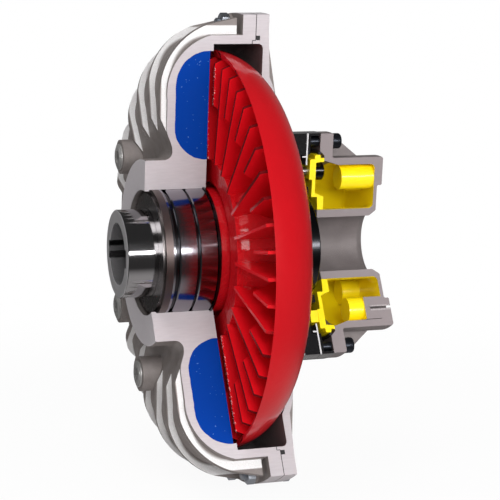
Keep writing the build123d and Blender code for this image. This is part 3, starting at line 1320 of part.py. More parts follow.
nozzle_screw.part.label = "nozzle_screw"
export_step(nozzle_screw.part, "parts/nozzle_screw.step")

with BuildPart() as filling_valve:
    with BuildSketch(across(PLATE_BACK)):
        with Locations(spot(VALVE_CIRCLE, VALVE_TURN)):
            Circle(VALVE_DIAMETER / 2)
    extrude(amount=VALVE_LENGTH)
    chamfer(filling_valve.edges().group_by(Axis.X)[-1], CORNER_BREAK)
    with BuildSketch(across(PLATE_BACK)):
        with Locations(spot(VALVE_CIRCLE, VALVE_TURN)):
            Circle(VALVE_THREAD / 2)
    extrude(amount=-VALVE_DEPTH)
    with BuildSketch(across(PLATE_BACK + VALVE_LENGTH)):
        with Locations(spot(VALVE_CIRCLE, VALVE_TURN)):
            hexagon(VALVE_SOCKET)
    extrude(amount=-VALVE_LENGTH / 2, mode=Mode.SUBTRACT)

filling_valve.part.label = "filling_valve"
export_step(filling_valve.part, "parts/filling_valve.step")
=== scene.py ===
"""Looks of the sectioned fluid coupling: finishes, dressed fasteners, camera and studio."""
from math import atan2, cos, pi, radians, sin, sqrt

import bpy
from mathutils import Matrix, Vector


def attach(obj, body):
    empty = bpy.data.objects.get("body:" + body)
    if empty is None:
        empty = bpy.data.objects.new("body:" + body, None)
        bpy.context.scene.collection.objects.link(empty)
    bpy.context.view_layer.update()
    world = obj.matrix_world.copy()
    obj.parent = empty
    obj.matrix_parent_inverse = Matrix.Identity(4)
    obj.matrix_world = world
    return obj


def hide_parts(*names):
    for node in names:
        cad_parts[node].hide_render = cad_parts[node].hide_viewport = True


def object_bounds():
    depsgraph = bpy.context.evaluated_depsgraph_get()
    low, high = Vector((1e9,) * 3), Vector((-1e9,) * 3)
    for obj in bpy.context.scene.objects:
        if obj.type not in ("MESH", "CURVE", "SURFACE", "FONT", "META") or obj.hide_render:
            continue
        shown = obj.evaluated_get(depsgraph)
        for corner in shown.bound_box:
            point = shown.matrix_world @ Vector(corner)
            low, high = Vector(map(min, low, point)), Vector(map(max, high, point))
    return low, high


bl_info = {
    "name": "Sectioned fluid coupling",
    "version": (1, 0, 0),
    "blender": (4, 5, 0),
    "location": "View3D > Sidebar > Coupling",
    "description": "Finishes, dressed fasteners and studio of a sectioned fluid coupling",
    "category": "Object",
}

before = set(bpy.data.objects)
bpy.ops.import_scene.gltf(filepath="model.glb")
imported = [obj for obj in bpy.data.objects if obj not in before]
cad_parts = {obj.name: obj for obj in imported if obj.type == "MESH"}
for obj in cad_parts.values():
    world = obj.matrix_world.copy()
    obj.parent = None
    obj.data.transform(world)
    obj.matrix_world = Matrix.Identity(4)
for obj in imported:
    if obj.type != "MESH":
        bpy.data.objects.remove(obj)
CAD_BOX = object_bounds()

# The sector that is cut from the casings, in degrees from +Z toward -Y
CUT_TURNS = (7.16, 151.16)
CUT_TOLERANCE = 0.00012

# Vane pocket of the outer wheel, in the plane through the axis
POCKET_FLOOR = -0.0331
POCKET_MOUTH = 0.0012
POCKET_INNER = 0.0920
POCKET_OUTER = 0.1980
POCKET_CORNER = 0.0325

# Ribs that follow the casing: first turn and pitch in degrees, width, and the crest's arc,
# whose centre is at x = 0 and a shoulder's height from the axis
RIB_TURN = 154.5
RIB_PITCH = 15.0
RIB_WIDTH = 0.0065
RIB_CORNER = 0.0478
RIB_SHOULDER = 0.1752

# Painted highlight on the sides of the ribs, a near-white band where light falls on them:
# innermost radius and tolerance across, then its fades away from the crest, at the crest and
# toward the flange
RIB_INNER = 0.120
RIB_TOLERANCE = 0.00015
RIB_HIGHLIGHT_DEPTH = (0.0125, 0.0090)
RIB_CREST = (0.0006, 0.0016)
RIB_END = (0.0308, 0.0298)

# Machined outer faces: rim of the flange and end of the hub
FLANGE_RIM = 0.2325
HUB_END = -0.0615

# Cast skin: size of its grains, colours from dark to light, and the darker colour inside the
# casings, painted shade of their enclosed cavity
GRAIN = 0.0012
SKIN = ((0.20, 0.17, 0.16), (0.34, 0.31, 0.30))
SKIN_PAINTED_SHADE = (0.24, 0.21, 0.215)

# Colours of the painted highlight on the ribs' sides and of machined faces, from dark to light,
# of the joint's line and of the flecks in the pocket's paint
RIB_PAINTED_HIGHLIGHT = ((0.72, 0.70, 0.70), (0.98, 0.97, 0.97))
BARE = ((0.50, 0.465, 0.485), (0.60, 0.565, 0.585))
SEAM_COLOUR = (0.03, 0.028, 0.03)
FLECK_COLOUR = (0.08, 0.20, 0.50)

# Joint of the casings: faces, spigot, bore and half the width of the line
JOINT_FACE = 0.0456
SPIGOT_FACE = 0.0422
SPIGOT_RADIUS = 0.2079
CASING_BORE = 0.2047
BORE_MARGIN = 0.0005
SEAM = 0.00035

# Ring shell of the cover: centre and radius of its arc between inside and outside, and the face
SHELL_X = 0.0017
SHELL_RADIUS = 0.1404
SHELL_MIDDLE = 0.0645
COVER_FACE = 0.0534
FACE_MARGIN = 0.0002

# Vanes of the inner wheel: front edge, inner and outer radius, how far the edge is brought
# forward, first turn and pitch in degrees, and width
VANE_FRONT = 0.0065
VANE_START = 0.0900
VANE_END = 0.1975
VANE_REACH = 0.0030
VANE_TURN = 0.8
VANE_PITCH = 7.5
VANE_WIDTH = 0.0030
VANE_MARGIN = 0.0001

# Paint of the inner wheel: fades of the rough waist and the dark hub by radius, and of the vane
# edges' painted shade by height, rim of the bowl whose back takes painted shade, and the strip
# of painted glints on the vanes' front beside the cut
WAIST_FADE = (0.105, 0.085)
HUB_FADE = (0.092, 0.086)
EDGE_FADE = (0.030, 0.075)
BOWL_RIM = 0.190
GLINT_DEPTH = 0.0012
GLINT_TURNS = (12.0, 146.0)
EDGE_PAINTED_SHADE = (0.13, 0.002, 0.004)
GLINT_PAINTED_HIGHLIGHT = (1.0, 0.62, 0.62)

# Hollow shaft: satin end face and bore, start of its black stretch, and the two colours
SHAFT_FACE = -0.0876
SHAFT_BORE = 0.0345
SHAFT_BLACK = 0.030
SHAFT_COLOUR = (0.46, 0.45, 0.46)
BLACK_COLOUR = (0.02, 0.019, 0.021)

# Hexagons: radii of the turned-off corners as shares of the width across flats, and their slope
HEX_FLAT = 0.48
HEX_CORNER = 0.59
HEX_SLOPE = 0.5

# Depth of a thread as a share of its pitch
THREAD_DEPTH = 0.55

# Joint fasteners; the lap is how far the shank runs into the head
JOINT_TURNS = [162.0 + 15.0 * index for index in range(14)]
JOINT_CIRCLE = 0.2235
JOINT_THREAD = 0.0100
JOINT_PITCH = 0.0015
JOINT_HEX = 0.0170
NUT_FACE = 0.0292
NUT_HEIGHT = 0.0084
NUT_LEAD = 0.0008
NUT_PLAY = 0.0001
THREAD_END = 0.0158
COVER_BACK = 0.0588
HEAD_HEIGHT = 0.0064
HEAD_LAP = 0.001

# Plugs in the casing
PLUG_TURNS = (192.0, 237.0, 312.0)
PLUG_CIRCLE = 0.1290
PLUG_FACE = -0.0600
PLUG_FOOT = -0.0331
PLUG_THREAD = 0.0240
PLUG_HEAD = 0.0270
PLUG_HEAD_HEIGHT = 0.0030
PLUG_SOCKET = 0.0120
PLUG_SOCKET_DEPTH = 0.0090
PLUG_CHAMFER = 0.0004

# Ring on the plug's head, as places below its top and inside its edge
PLUG_RING = (
    (0.0, 0.0030),
    (0.0003, 0.0024),
    (0.0007, 0.0024),
    (0.0007, 0.0012),
    (0.0012, 0.0),
)

# Painted cavity of the delay chamber
CAVITY_END = 0.1780
CAVITY_OUTER = 0.0822
CAVITY_INNER = 0.0365
CAVITY_MARGIN = 0.0004

# Tapped holes of the delay chamber, and the thread as it shows on the cut face
TAPPED_TURN = 156.0
TAPPED_PITCH = 60.0
TAPPED_CIRCLE = 0.0700
TAPPED_RADIUS = 0.0060
TAPPED_START = 0.1645
TAPPED_LEAD = 0.0030
TAPPED_MARGIN = 0.0003
THREAD_PITCH = 0.00175
THREAD_ROW = 0.0020
THREAD_TICK = 0.0007

# Colours of the chamber's skin from dark to light, of its cut faces and of the thread on them
CHAMBER_SKIN = ((0.15, 0.125, 0.125), (0.25, 0.22, 0.215))
CHAMBER_BARE = (0.29, 0.25, 0.255)
TICK_COLOUR = (0.60, 0.56, 0.56)

# Unpainted sliver of the chamber's wall behind the lower tapped hole
SLIVER_DEPTH = 0.0015
SLIVER_WIDTH = 0.010
SLIVER_START = 0.158
SLIVER_TURN = 9.0

# Screws of the delay chamber
CHAMBER_TURNS = [155.51 + 29.615 * index for index in range(8)]
CHAMBER_CIRCLE = 0.1055
CHAMBER_THREAD = 0.0100
CHAMBER_SCREW_FOOT = 0.0935
CHAMBER_SEAT = 0.1315
CHAMBER_HEAD = 0.0160
CHAMBER_SOCKET = 0.0078
KNURL_TURN = 5.0
KNURL_SHARE = 0.972

# Foot and rounded top of their heads, as places above the seat or below the top, and inside
# the side
CHAMBER_HEAD_FOOT = ((0.0, 0.0006), (0.0004, 0.0), (0.0010, 0.0))
CHAMBER_HEAD_ROUND = ((0.0024, 0.0), (0.0012, 0.0003), (0.0004, 0.0010), (0.0, 0.0022))

# How far a cutting tool stands out of what it cuts
TOOL_PROUD = 0.001

# Camera at the photograph's place
CAMERA_PLACE = (-0.5056, -1.6678, 0.2409)
CAMERA_TARGET = (0.0484, 0.0, -0.002)
CAMERA_LENS = 127.94
CAMERA_SENSOR = 36.0

# Floor: size, gap under the object, and fades of what is seen and of what metal mirrors
FLOOR_SIZE = 12.0
FLOOR_DROP = 0.0005
FLOOR_FADE = (0.4, 1.1)
MIRROR_FADE = (0.42, 0.16)

# Room: light from all round, and the dark and the bright band that metal mirrors
ROOM_LIGHT = 0.42
ROOM_DARK = 0.04
ROOM_BAND = 0.18

# Lamps: place, then width and height
LAMPS = {
    "window": ((0.95, -2.8, 0.42), (1.4, 0.36)),
    "key": ((-0.25, -2.6, 0.85), (1.2, 1.2)),
    "top": ((-0.7, -0.6, 2.4), (1.2, 1.2)),
}


class Channel:
    """Output of a shader node; arithmetic and comparisons on it add Math nodes."""

    def __init__(self, sheet, socket):
        self.sheet = sheet
        self.socket = socket

    def __add__(self, other):
        return self.sheet.maths("ADD", self, other)

    def __radd__(self, other):
        return self.sheet.maths("ADD", other, self)

    def __sub__(self, other):
        return self.sheet.maths("SUBTRACT", self, other)

    def __rsub__(self, other):
        return self.sheet.maths("SUBTRACT", other, self)

    def __mul__(self, other):
        return self.sheet.maths("MULTIPLY", self, other)

    def __rmul__(self, other):
        return self.sheet.maths("MULTIPLY", other, self)

    def __truediv__(self, other):
        return self.sheet.maths("DIVIDE", self, other)

    def __pow__(self, other):
        return self.sheet.maths("POWER", self, other)

    def __abs__(self):
        return self.sheet.maths("ABSOLUTE", self)

    def __lt__(self, other):
        return self.sheet.maths("LESS_THAN", self, other)

    def __gt__(self, other):
        return self.sheet.maths("GREATER_THAN", self, other)

    def __and__(self, other):
        return self.sheet.maths("MINIMUM", self, other)

    def __or__(self, other):
        return self.sheet.maths("MAXIMUM", self, other)


class Sheet:
    """Node tree of one finish, with the coordinates and patterns that it is drawn from."""

    def __init__(self, tree):
        self.tree = tree
        tree.nodes.clear()

    def node(self, kind, settings=None, sockets=None, output=0):
        """Adds a node, sets it up, fills or links its inputs and gives one of its outputs."""
        made = self.tree.nodes.new(kind)
        for name, value in (settings or {}).items():
            setattr(made, name, value)
        for key, value in (sockets or {}).items():
            if isinstance(value, Channel):
                self.tree.links.new(value.socket, made.inputs[key])
            else:
                made.inputs[key].default_value = value
        return Channel(self, made.outputs[output])

    def maths(self, operation, *values):
        """Math node over numbers and channels."""
        return self.node("ShaderNodeMath", {"operation": operation}, dict(enumerate(values)))

    def mix(self, factor, first, second):
        """Colour between two colours, or colour channels."""
        settings = {"data_type": "RGBA", "clamp_factor": True}
        colours = {6: solid(first), 7: solid(second)}
        return self.node("ShaderNodeMix", settings, {0: factor, **colours}, output=2)

    def shade(self, colour, factor):
        """Colour made lighter or darker by a channel round 1."""
        settings = {"data_type": "RGBA", "blend_type": "MULTIPLY"}
        grey = self.node("ShaderNodeCombineColor", None, {0: factor, 1: factor, 2: factor})
        return self.node("ShaderNodeMix", settings, {0: 1.0, 6: solid(colour), 7: grey}, output=2)

    def ease(self, value, low, high):
        """0 below low, 1 above high, smooth between; falls when high is below low."""
        settings = {"interpolation_type": "SMOOTHSTEP", "clamp": True}
        return self.node("ShaderNodeMapRange", settings, {0: value, 1: low, 2: high})

    def noise(self, size, detail, rough=0.55, stretch=None):
        """Noise with blobs of this size in metres, drawn out along an axis by stretch."""
        point = self.point
        if stretch:
            point = self.node("ShaderNodeMapping", None, {0: point, 3: stretch})
        inputs = {"Vector": point, "Scale": 1 / size, "Detail": detail, "Roughness": rough}
        return self.node("ShaderNodeTexNoise", None, inputs)

    def ray(self, kind):
        """1 for rays of this kind, else 0."""
        return self.node("ShaderNodeLightPath", None, None, f"Is {kind} Ray")

    def bump(self, height, distance):
        """Normal from a height, whose full range is this distance in metres."""
        inputs = {"Strength": 1.0, "Distance": distance, "Height": height}
        return self.node("ShaderNodeBump", None, inputs)

    def locate(self):
        """Object coordinates, distance from the shaft axis, turn and mask of the cut faces."""
        self.point = self.node("ShaderNodeTexCoord", None, None, "Object")
        parts = [
            self.node("ShaderNodeSeparateXYZ", None, {0: self.point}, axis) for axis in "XYZ"
        ]
        self.x, self.y, self.z = parts
        self.radius = (self.y * self.y + self.z * self.z) ** 0.5
        self.turn = self.maths("ARCTAN2", 0.0 - self.y, self.z)
        faces = []
        for turn in CUT_TURNS:
            across, up = sin(radians(turn)), cos(radians(turn))
            off = abs(self.y * up + self.z * across)
            side = self.z * up - self.y * across
            faces.append((off < CUT_TOLERANCE) & (side > 0))
        self.cut = faces[0] | faces[1]

    def from_ray(self, first, pitch):
        """Distances across and along the nearest of evenly spaced rays from the axis."""
        phase = (self.turn - radians(first)) / radians(pitch)
        off = (phase - self.maths("ROUND", phase)) * radians(pitch)
        return self.radius * self.maths("SINE", off), self.radius * self.maths("COSINE", off)

    def surface(self, colour, rough, metal, normal, coat=0.0, specular=0.5):
        """Principled surface that ends the sheet."""
        inputs = {
            "Base Color": solid(colour),
            "Roughness": rough,
            "Metallic": metal,
            "Coat Weight": coat,
            "Coat Roughness": 0.05,
            "Specular IOR Level": specular,
            "Normal": normal,
        }
        self.close(self.node("ShaderNodeBsdfPrincipled", None, inputs))

    def close(self, shader, end="ShaderNodeOutputMaterial"):
        """Links the last shader to the output."""
        self.tree.links.new(shader.socket, self.tree.nodes.new(end).inputs[0])


def solid(colour):
    """Colour with alpha, or a channel as it is."""
    if isinstance(colour, Channel):
        return colour
    return (*colour[:3], 1.0)


def finish(name):
    """New material with its sheet."""
    material = bpy.data.materials.new(name)
    material.use_nodes = True
    sheet = Sheet(material.node_tree)
    sheet.locate()
    return material, sheet


def dress(material, *nodes):
    """Puts a material on carried-over nodes or pieces."""
    for node in nodes:
        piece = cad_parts[node] if isinstance(node, str) else node
        piece.data.materials.clear()
        piece.data.materials.append(material)


def looks():
    """Colours that the panel offers."""
    return bpy.context.scene.coupling_finish


def only(*pieces):
    """Selects these pieces alone, with the first one active."""
    bpy.ops.object.select_all(action="DESELECT")
    for piece in pieces:
        piece.select_set(True)
    bpy.context.view_layer.objects.active = pieces[0]


def settle(piece):
    """Moves a piece's place and turn into its mesh."""
    only(piece)
    bpy.ops.object.transform_apply(location=True, rotation=True, scale=True)


def carve(piece, tool, operation="DIFFERENCE"):
    """Cuts a piece with a tool, trims it to the tool or unites the two; the tool is used up."""
    modifier = piece.modifiers.new("Carve", "BOOLEAN")
    modifier.operation = operation
    modifier.object = tool
    modifier.solver = "EXACT"
    only(piece)
    bpy.ops.object.modifier_apply(modifier=modifier.name)
    bpy.data.objects.remove(tool)


def turned(name, profile, steps=40):
    """Solid turned round X from points of x and radius, from axis to axis."""
    bpy.ops.object.select_all(action="DESELECT")
    bpy.ops.mesh.primitive_plane_add(size=0.001, location=(0, 0, 0))
    piece = bpy.context.object
    piece.name = name
    bpy.ops.object.mode_set(mode="EDIT")
    bpy.ops.mesh.select_all(action="SELECT")
    bpy.ops.mesh.merge(type="CENTER")
    bpy.ops.transform.translate(value=(profile[0][0], 0, profile[0][1]))
    for (last_x, last_radius), (x, radius) in zip(profile, profile[1:]):
        step = (x - last_x, 0, radius - last_radius)
        bpy.ops.mesh.extrude_vertices_move(TRANSFORM_OT_translate={"value": step})
    bpy.ops.mesh.select_all(action="SELECT")
    bpy.ops.mesh.spin(steps=steps, angle=2 * pi, center=(0, 0, 0), axis=(1, 0, 0))
    bpy.ops.mesh.select_all(action="SELECT")
    bpy.ops.mesh.remove_doubles(threshold=0.000005)
    bpy.ops.mesh.normals_make_consistent(inside=False)
    bpy.ops.object.mode_set(mode="OBJECT")
    return piece


def hexagon(name, across_flats, start, end):
    """Hexagonal bar along X with a corner toward +Z."""
    bpy.ops.object.select_all(action="DESELECT")
    bpy.ops.mesh.primitive_cylinder_add(
        vertices=6,
        radius=across_flats / sqrt(3),
        depth=end - start,
        location=((start + end) / 2, 0, 0),
        rotation=(0, pi / 2, 0),
    )
    bar = bpy.context.object
    bar.name = name
    settle(bar)
    bar.rotation_euler.x = pi / 6
    settle(bar)
    return bar


def hexagon_head(name, across_flats, start, end, both):
    """Hexagon with the corners turned off at its outer end, or at both."""
    bar = hexagon(name, across_flats, start, end)
    flat, corner = across_flats * HEX_FLAT, across_flats * HEX_CORNER
    drop = (corner - flat) * HEX_SLOPE
    profile = [(start, 0), (start, flat if both else corner)]
    profile += [(start + drop, corner), (end - drop, corner), (end, flat), (end, 0)]
    carve(bar, turned("corner_round", profile, 36), "INTERSECT")
    return bar


def spread(master, circle, turns, name):
    """Copies of a fastener round the shaft, each with its own mesh, as one piece."""
    master.location.z = circle
    settle(master)
    copies = []
    for turn in turns:
        only(master)
        bpy.ops.object.duplicate()
        copy = bpy.context.object
        copy.rotation_euler.x = radians(turn)
        settle(copy)
        copies.append(copy)
    bpy.data.objects.remove(master)
    only(*copies)
    bpy.ops.object.join()
    piece = bpy.context.object
    piece.name = name
    bpy.ops.object.shade_smooth_by_angle(angle=radians(30))
    return piece


def fit(piece, node, material, body="housing"):
    """Sets a piece in the place of a node and finish."""
    dress(material, piece)
    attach(piece, body)
    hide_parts(node)


def threaded(start, end, radius, pitch):
    """Points of a thread's outline between two places along the shaft."""
    root = radius - THREAD_DEPTH * pitch
    points = []
    x = start
    while x + pitch < end:
        points += [(x, root), (x + pitch / 2, radius)]
        x += pitch
    return points + [(x, root), (end, radius)]


def cast_grain(sheet):
    """Height of a blasted sand-cast skin."""
    return sheet.noise(GRAIN, 4.0, 0.65) + sheet.noise(GRAIN * 6, 2.0) * 0.6


def lathe_lines(sheet):
    """Fine lines round the shaft axis."""
    return sheet.noise(0.0006, 2.0, 0.6, (1.0, 0.05, 0.05))


def seam_mask(sheet):
    """Line of the joint between the casings, with its step at the spigot."""
    face = (abs(sheet.x - JOINT_FACE) < SEAM) & (sheet.radius > SPIGOT_RADIUS)
    step = (abs(sheet.radius - SPIGOT_RADIUS) < SEAM) & (sheet.x > SPIGOT_FACE)
    foot = (abs(sheet.x - SPIGOT_FACE) < SEAM) & (sheet.radius > CASING_BORE)
    foot = foot & (sheet.radius < SPIGOT_RADIUS)
    return face | (step & (sheet.x < JOINT_FACE)) | foot


def pocket_mask(sheet):
    """1 inside the rounded profile of the vane pocket, with a slightly uneven edge of paint."""
    half = (POCKET_OUTER - POCKET_INNER) / 2
    across = abs(sheet.radius - (POCKET_OUTER + POCKET_INNER) / 2) - (half - POCKET_CORNER)
    deep = (POCKET_FLOOR + POCKET_CORNER) - sheet.x
    out = ((across | 0.0) ** 2 + (deep | 0.0) ** 2) ** 0.5
    edge = sheet.noise(0.009, 3.0) * 0.0016 - 0.0006
    return (out < POCKET_CORNER + edge) & (sheet.x < POCKET_MOUTH)


def cast_aluminium(name, pocket):
    """Blasted skin, painted shade inside and satin cut faces; a pocket adds its paint and a
    painted highlight on the ribs.
    """
    material, sheet = finish(name)
    mottle = sheet.noise(0.014, 3.0)
    skin = sheet.mix(mottle, *SKIN)
    across, _ = sheet.from_ray(RIB_TURN, RIB_PITCH)
    side = (abs(abs(across) - RIB_WIDTH / 2) < RIB_TOLERANCE) & (sheet.radius > RIB_INNER)
    reach = ((sheet.x < 0.0) * sheet.x) ** 2 + ((sheet.radius - RIB_SHOULDER) | 0.0) ** 2
    depth = RIB_CORNER - reach**0.5
    fleck = sheet.noise(0.0011, 2.0)
    rim = sheet.ease(depth, *RIB_CREST) * sheet.ease(sheet.x, *RIB_END)
    painted_highlight = sheet.mix(fleck, *RIB_PAINTED_HIGHLIGHT)
    streak = sheet.noise(0.0016, 2.0, 0.6, (0.12, 1.0, 1.0))
    bare = sheet.mix(streak, *BARE)
    turned_face = (sheet.radius > FLANGE_RIM) | (sheet.x < HUB_END)
    bare_mask = sheet.cut | turned_face
    if pocket:
        inside = (sheet.x > POCKET_MOUTH) & (sheet.radius < CASING_BORE + BORE_MARGIN)
        # painted highlight: the band on the ribs' sides is coloured near white where light falls
        # on them
        lit = side * sheet.ease(depth, *RIB_HIGHLIGHT_DEPTH) * rim * (1 - inside)
        skin = sheet.mix(lit, skin, painted_highlight)
    else:
        ring = ((sheet.x - SHELL_X) ** 2 + (sheet.radius - SHELL_RADIUS) ** 2) ** 0.5
        inside = (ring < SHELL_MIDDLE) | (sheet.x < COVER_FACE + FACE_MARGIN)
        inside = inside & (sheet.radius < CASING_BORE + BORE_MARGIN)
    # painted shade: the skin inside the casings takes a darker colour, as their cavity lies in
    # shade
    skin = sheet.mix(inside, skin, SKIN_PAINTED_SHADE)
    colour = sheet.mix(bare_mask, skin, bare)
    colour = sheet.mix(seam_mask(sheet), colour, SEAM_COLOUR)
    rough = 0.55 + mottle * 0.12 - bare_mask * 0.12
    metal = 0.35 - bare_mask * 0.15
    height = cast_grain(sheet) * (1 - bare_mask) + streak * bare_mask * 0.15
    coat = 0.0
    if pocket:
        gloss = sheet.noise(0.004, 2.0)
        speck = sheet.noise(0.0022, 1.0) > 0.76
        painted = pocket_mask(sheet)
        paint = sheet.mix(speck, looks().pocket_paint, FLECK_COLOUR)
        colour = sheet.mix(painted, colour, paint)
        rough = rough + (0.7 - rough) * painted
        metal = metal * (1 - painted)
        height = height * (1 - painted) + gloss * painted * 0.12
        coat = painted * 0.03
    sheet.surface(colour, rough, metal, sheet.bump(height, 0.0004), coat, specular=0.06)
    return material


def steel(name, colour, rough, line=0.35):
    """Ground or turned steel with fine lines round the shaft axis."""
    material, sheet = finish(name)
    lines = lathe_lines(sheet)
    tone = sheet.noise(0.03, 2.0)
    shade = sheet.shade(colour, 0.94 + tone * 0.12)
    height = lines * line
    sheet.surface(shade, rough * 0.8 + lines * rough * 0.4, 1.0, sheet.bump(height, 0.00004))
    return material


def plated(name, colour, rough, metal=0.9):
    """Plated or blackened fastener steel with handling marks."""
    material, sheet = finish(name)
    wear = sheet.noise(0.0025, 4.0, 0.7)
    shade = sheet.shade(colour, 0.75 + wear * 0.5)
    sheet.surface(shade, rough * 0.75 + wear * rough * 0.5, metal, sheet.bump(wear, 0.00006))
    return material


class CouplingFinish(bpy.types.PropertyGroup):
    """Colours of the coupling's finishes."""

    wheel_paint: bpy.props.FloatVectorProperty(
        name="Inner wheel paint",
        description="Gloss paint of the inner wheel",
        default=(0.72, 0.005, 0.012),
        min=0.0,
        max=1.0,
        size=3,
        subtype="COLOR",
    )
    pocket_paint: bpy.props.FloatVectorProperty(
        name="Vane pocket paint",
        description="Gloss paint of the outer wheel's vane pocket",
        default=(0.0, 0.040, 0.300),
        min=0.0,
        max=1.0,
        size=3,
        subtype="COLOR",
    )
    chamber_paint: bpy.props.FloatVectorProperty(
        name="Delay chamber paint",
        description="Gloss paint inside the delay chamber",
        default=(1.0, 0.80, 0.006),
        min=0.0,
        max=1.0,
        size=3,
        subtype="COLOR",
    )


class CouplingStudio(bpy.types.PropertyGroup):
    """Powers of the lamps."""

    window: bpy.props.FloatProperty(
        name="Window", description="Power of the window in front", default=22.0, unit="POWER"
    )
    key: bpy.props.FloatProperty(
        name="Key", description="Power of the soft box by the camera", default=42.0, unit="POWER"
    )
    top: bpy.props.FloatProperty(
        name="Top", description="Power of the lamp overhead", default=20.0, unit="POWER"
    )


class COUPLING_OT_casings(bpy.types.Operator):
    """Finishes the outer wheel and the cover"""

    bl_idname = "coupling.casings"
    bl_label = "Casings"

    def execute(self, context):
        dress(cast_aluminium("outer_wheel_finish", True), "outer_wheel")
        dress(cast_aluminium("cover_finish", False), "cover_shell")
        return {"FINISHED"}


class COUPLING_OT_inner_wheel(bpy.types.Operator):
    """Brings the vanes of the inner wheel close to the outer ones and paints the wheel"""

    bl_idname = "coupling.inner_wheel"
    bl_label = "Inner wheel"

    def execute(self, context):
        wheel = bpy.data.objects.new("painted_wheel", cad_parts["inner_wheel"].data.copy())
        context.collection.objects.link(wheel)
        only(wheel)
        bpy.ops.mesh.customdata_custom_splitnormals_clear()
        bpy.ops.object.mode_set(mode="EDIT")
        bpy.ops.mesh.select_all(action="SELECT")
        bpy.ops.mesh.remove_doubles(threshold=0.000002)
        bpy.ops.mesh.select_all(action="DESELECT")
        bpy.ops.mesh.select_mode(type="VERT")
        bpy.ops.object.mode_set(mode="OBJECT")
        for vertex in wheel.data.vertices:
            x, y, z = vertex.co
            vertex.select = abs(x - VANE_FRONT) < 0.00001 and y * y + z * z > VANE_START**2
        bpy.ops.object.mode_set(mode="EDIT")
        bpy.ops.transform.translate(value=(-VANE_REACH, 0, 0))
        bpy.ops.object.mode_set(mode="OBJECT")
        bpy.ops.object.shade_smooth_by_angle(angle=radians(32))
        ends = wheel.data.attributes.new("vane_edge", "FLOAT", "FACE")
        shaded_backs = wheel.data.attributes.new("bowl_back", "FLOAT", "FACE")
        for face in wheel.data.polygons:
            x, y, z = face.center
            radius = sqrt(y * y + z * z)
            share = (atan2(-y, z) - radians(VANE_TURN)) / radians(VANE_PITCH)
            off = radius * radians(VANE_PITCH) * abs(share - round(share))
            on_vane = off < VANE_WIDTH / 2 - VANE_MARGIN and VANE_START < radius < VANE_END
            ends.data[face.index].value = float(on_vane and face.normal.x < -0.15)
            # faces on the back of the bowl are marked for painted shade
            outward = (y * face.normal.y + z * face.normal.z) / max(radius, 0.001)
            back = face.normal.x > 0.05 or (outward > 0.6 and radius > BOWL_RIM)
            shaded_backs.data[face.index].value = float(back)

        material, sheet = finish("wheel_gloss")
        peel = sheet.noise(0.006, 2.0) * 0.5 + sheet.noise(0.0015, 2.0) * 0.12
        waist = sheet.ease(sheet.radius, *WAIST_FADE)
        peel = peel + sheet.noise(0.003, 3.0) * waist * 4.5
        edge = sheet.node("ShaderNodeAttribute", {"attribute_name": "vane_edge"}, None, "Fac")
        hub = sheet.ease(sheet.radius, *HUB_FADE)
        back = sheet.node("ShaderNodeAttribute", {"attribute_name": "bowl_back"}, None, "Fac")
        # painted shade: the bowl's back is coloured darker than the same paint on the vanes
        shade = (0.92 + sheet.noise(0.05, 2.0) * 0.16) * (1 - hub * 0.3) * (1 - back * 0.38)
        tone = sheet.shade(looks().wheel_paint, shade)
        # painted shade: the vanes' front edges, away from mid height, are coloured dark as if
        # shadowed
        edge = edge * sheet.ease(abs(sheet.z), *EDGE_FADE)
        tone = sheet.mix(edge, tone, EDGE_PAINTED_SHADE)
        # painted highlight: light pink specks on the vanes' front beside the cut stand in for
        # glints
        front = sheet.x < VANE_FRONT - VANE_REACH + GLINT_DEPTH
        first, last = (radians(turn) for turn in GLINT_TURNS)
        beside_cut = (sheet.turn < first) | (sheet.turn > last)
        glint = (sheet.noise(0.0016, 1.0) > 0.63) & (sheet.radius > VANE_START) & front
        glint = glint & beside_cut & (sheet.turn > 0.0)
        tone = sheet.mix(glint, tone, GLINT_PAINTED_HIGHLIGHT)
        rough = 0.40 + edge * 0.45
        coat = 0.45 * (1 - edge)
        sheet.surface(tone, rough, 0.0, sheet.bump(peel, 0.0003), coat, 0.1)
        fit(wheel, "inner_wheel", material, "shaft_and_inner_wheel")
        return {"FINISHED"}


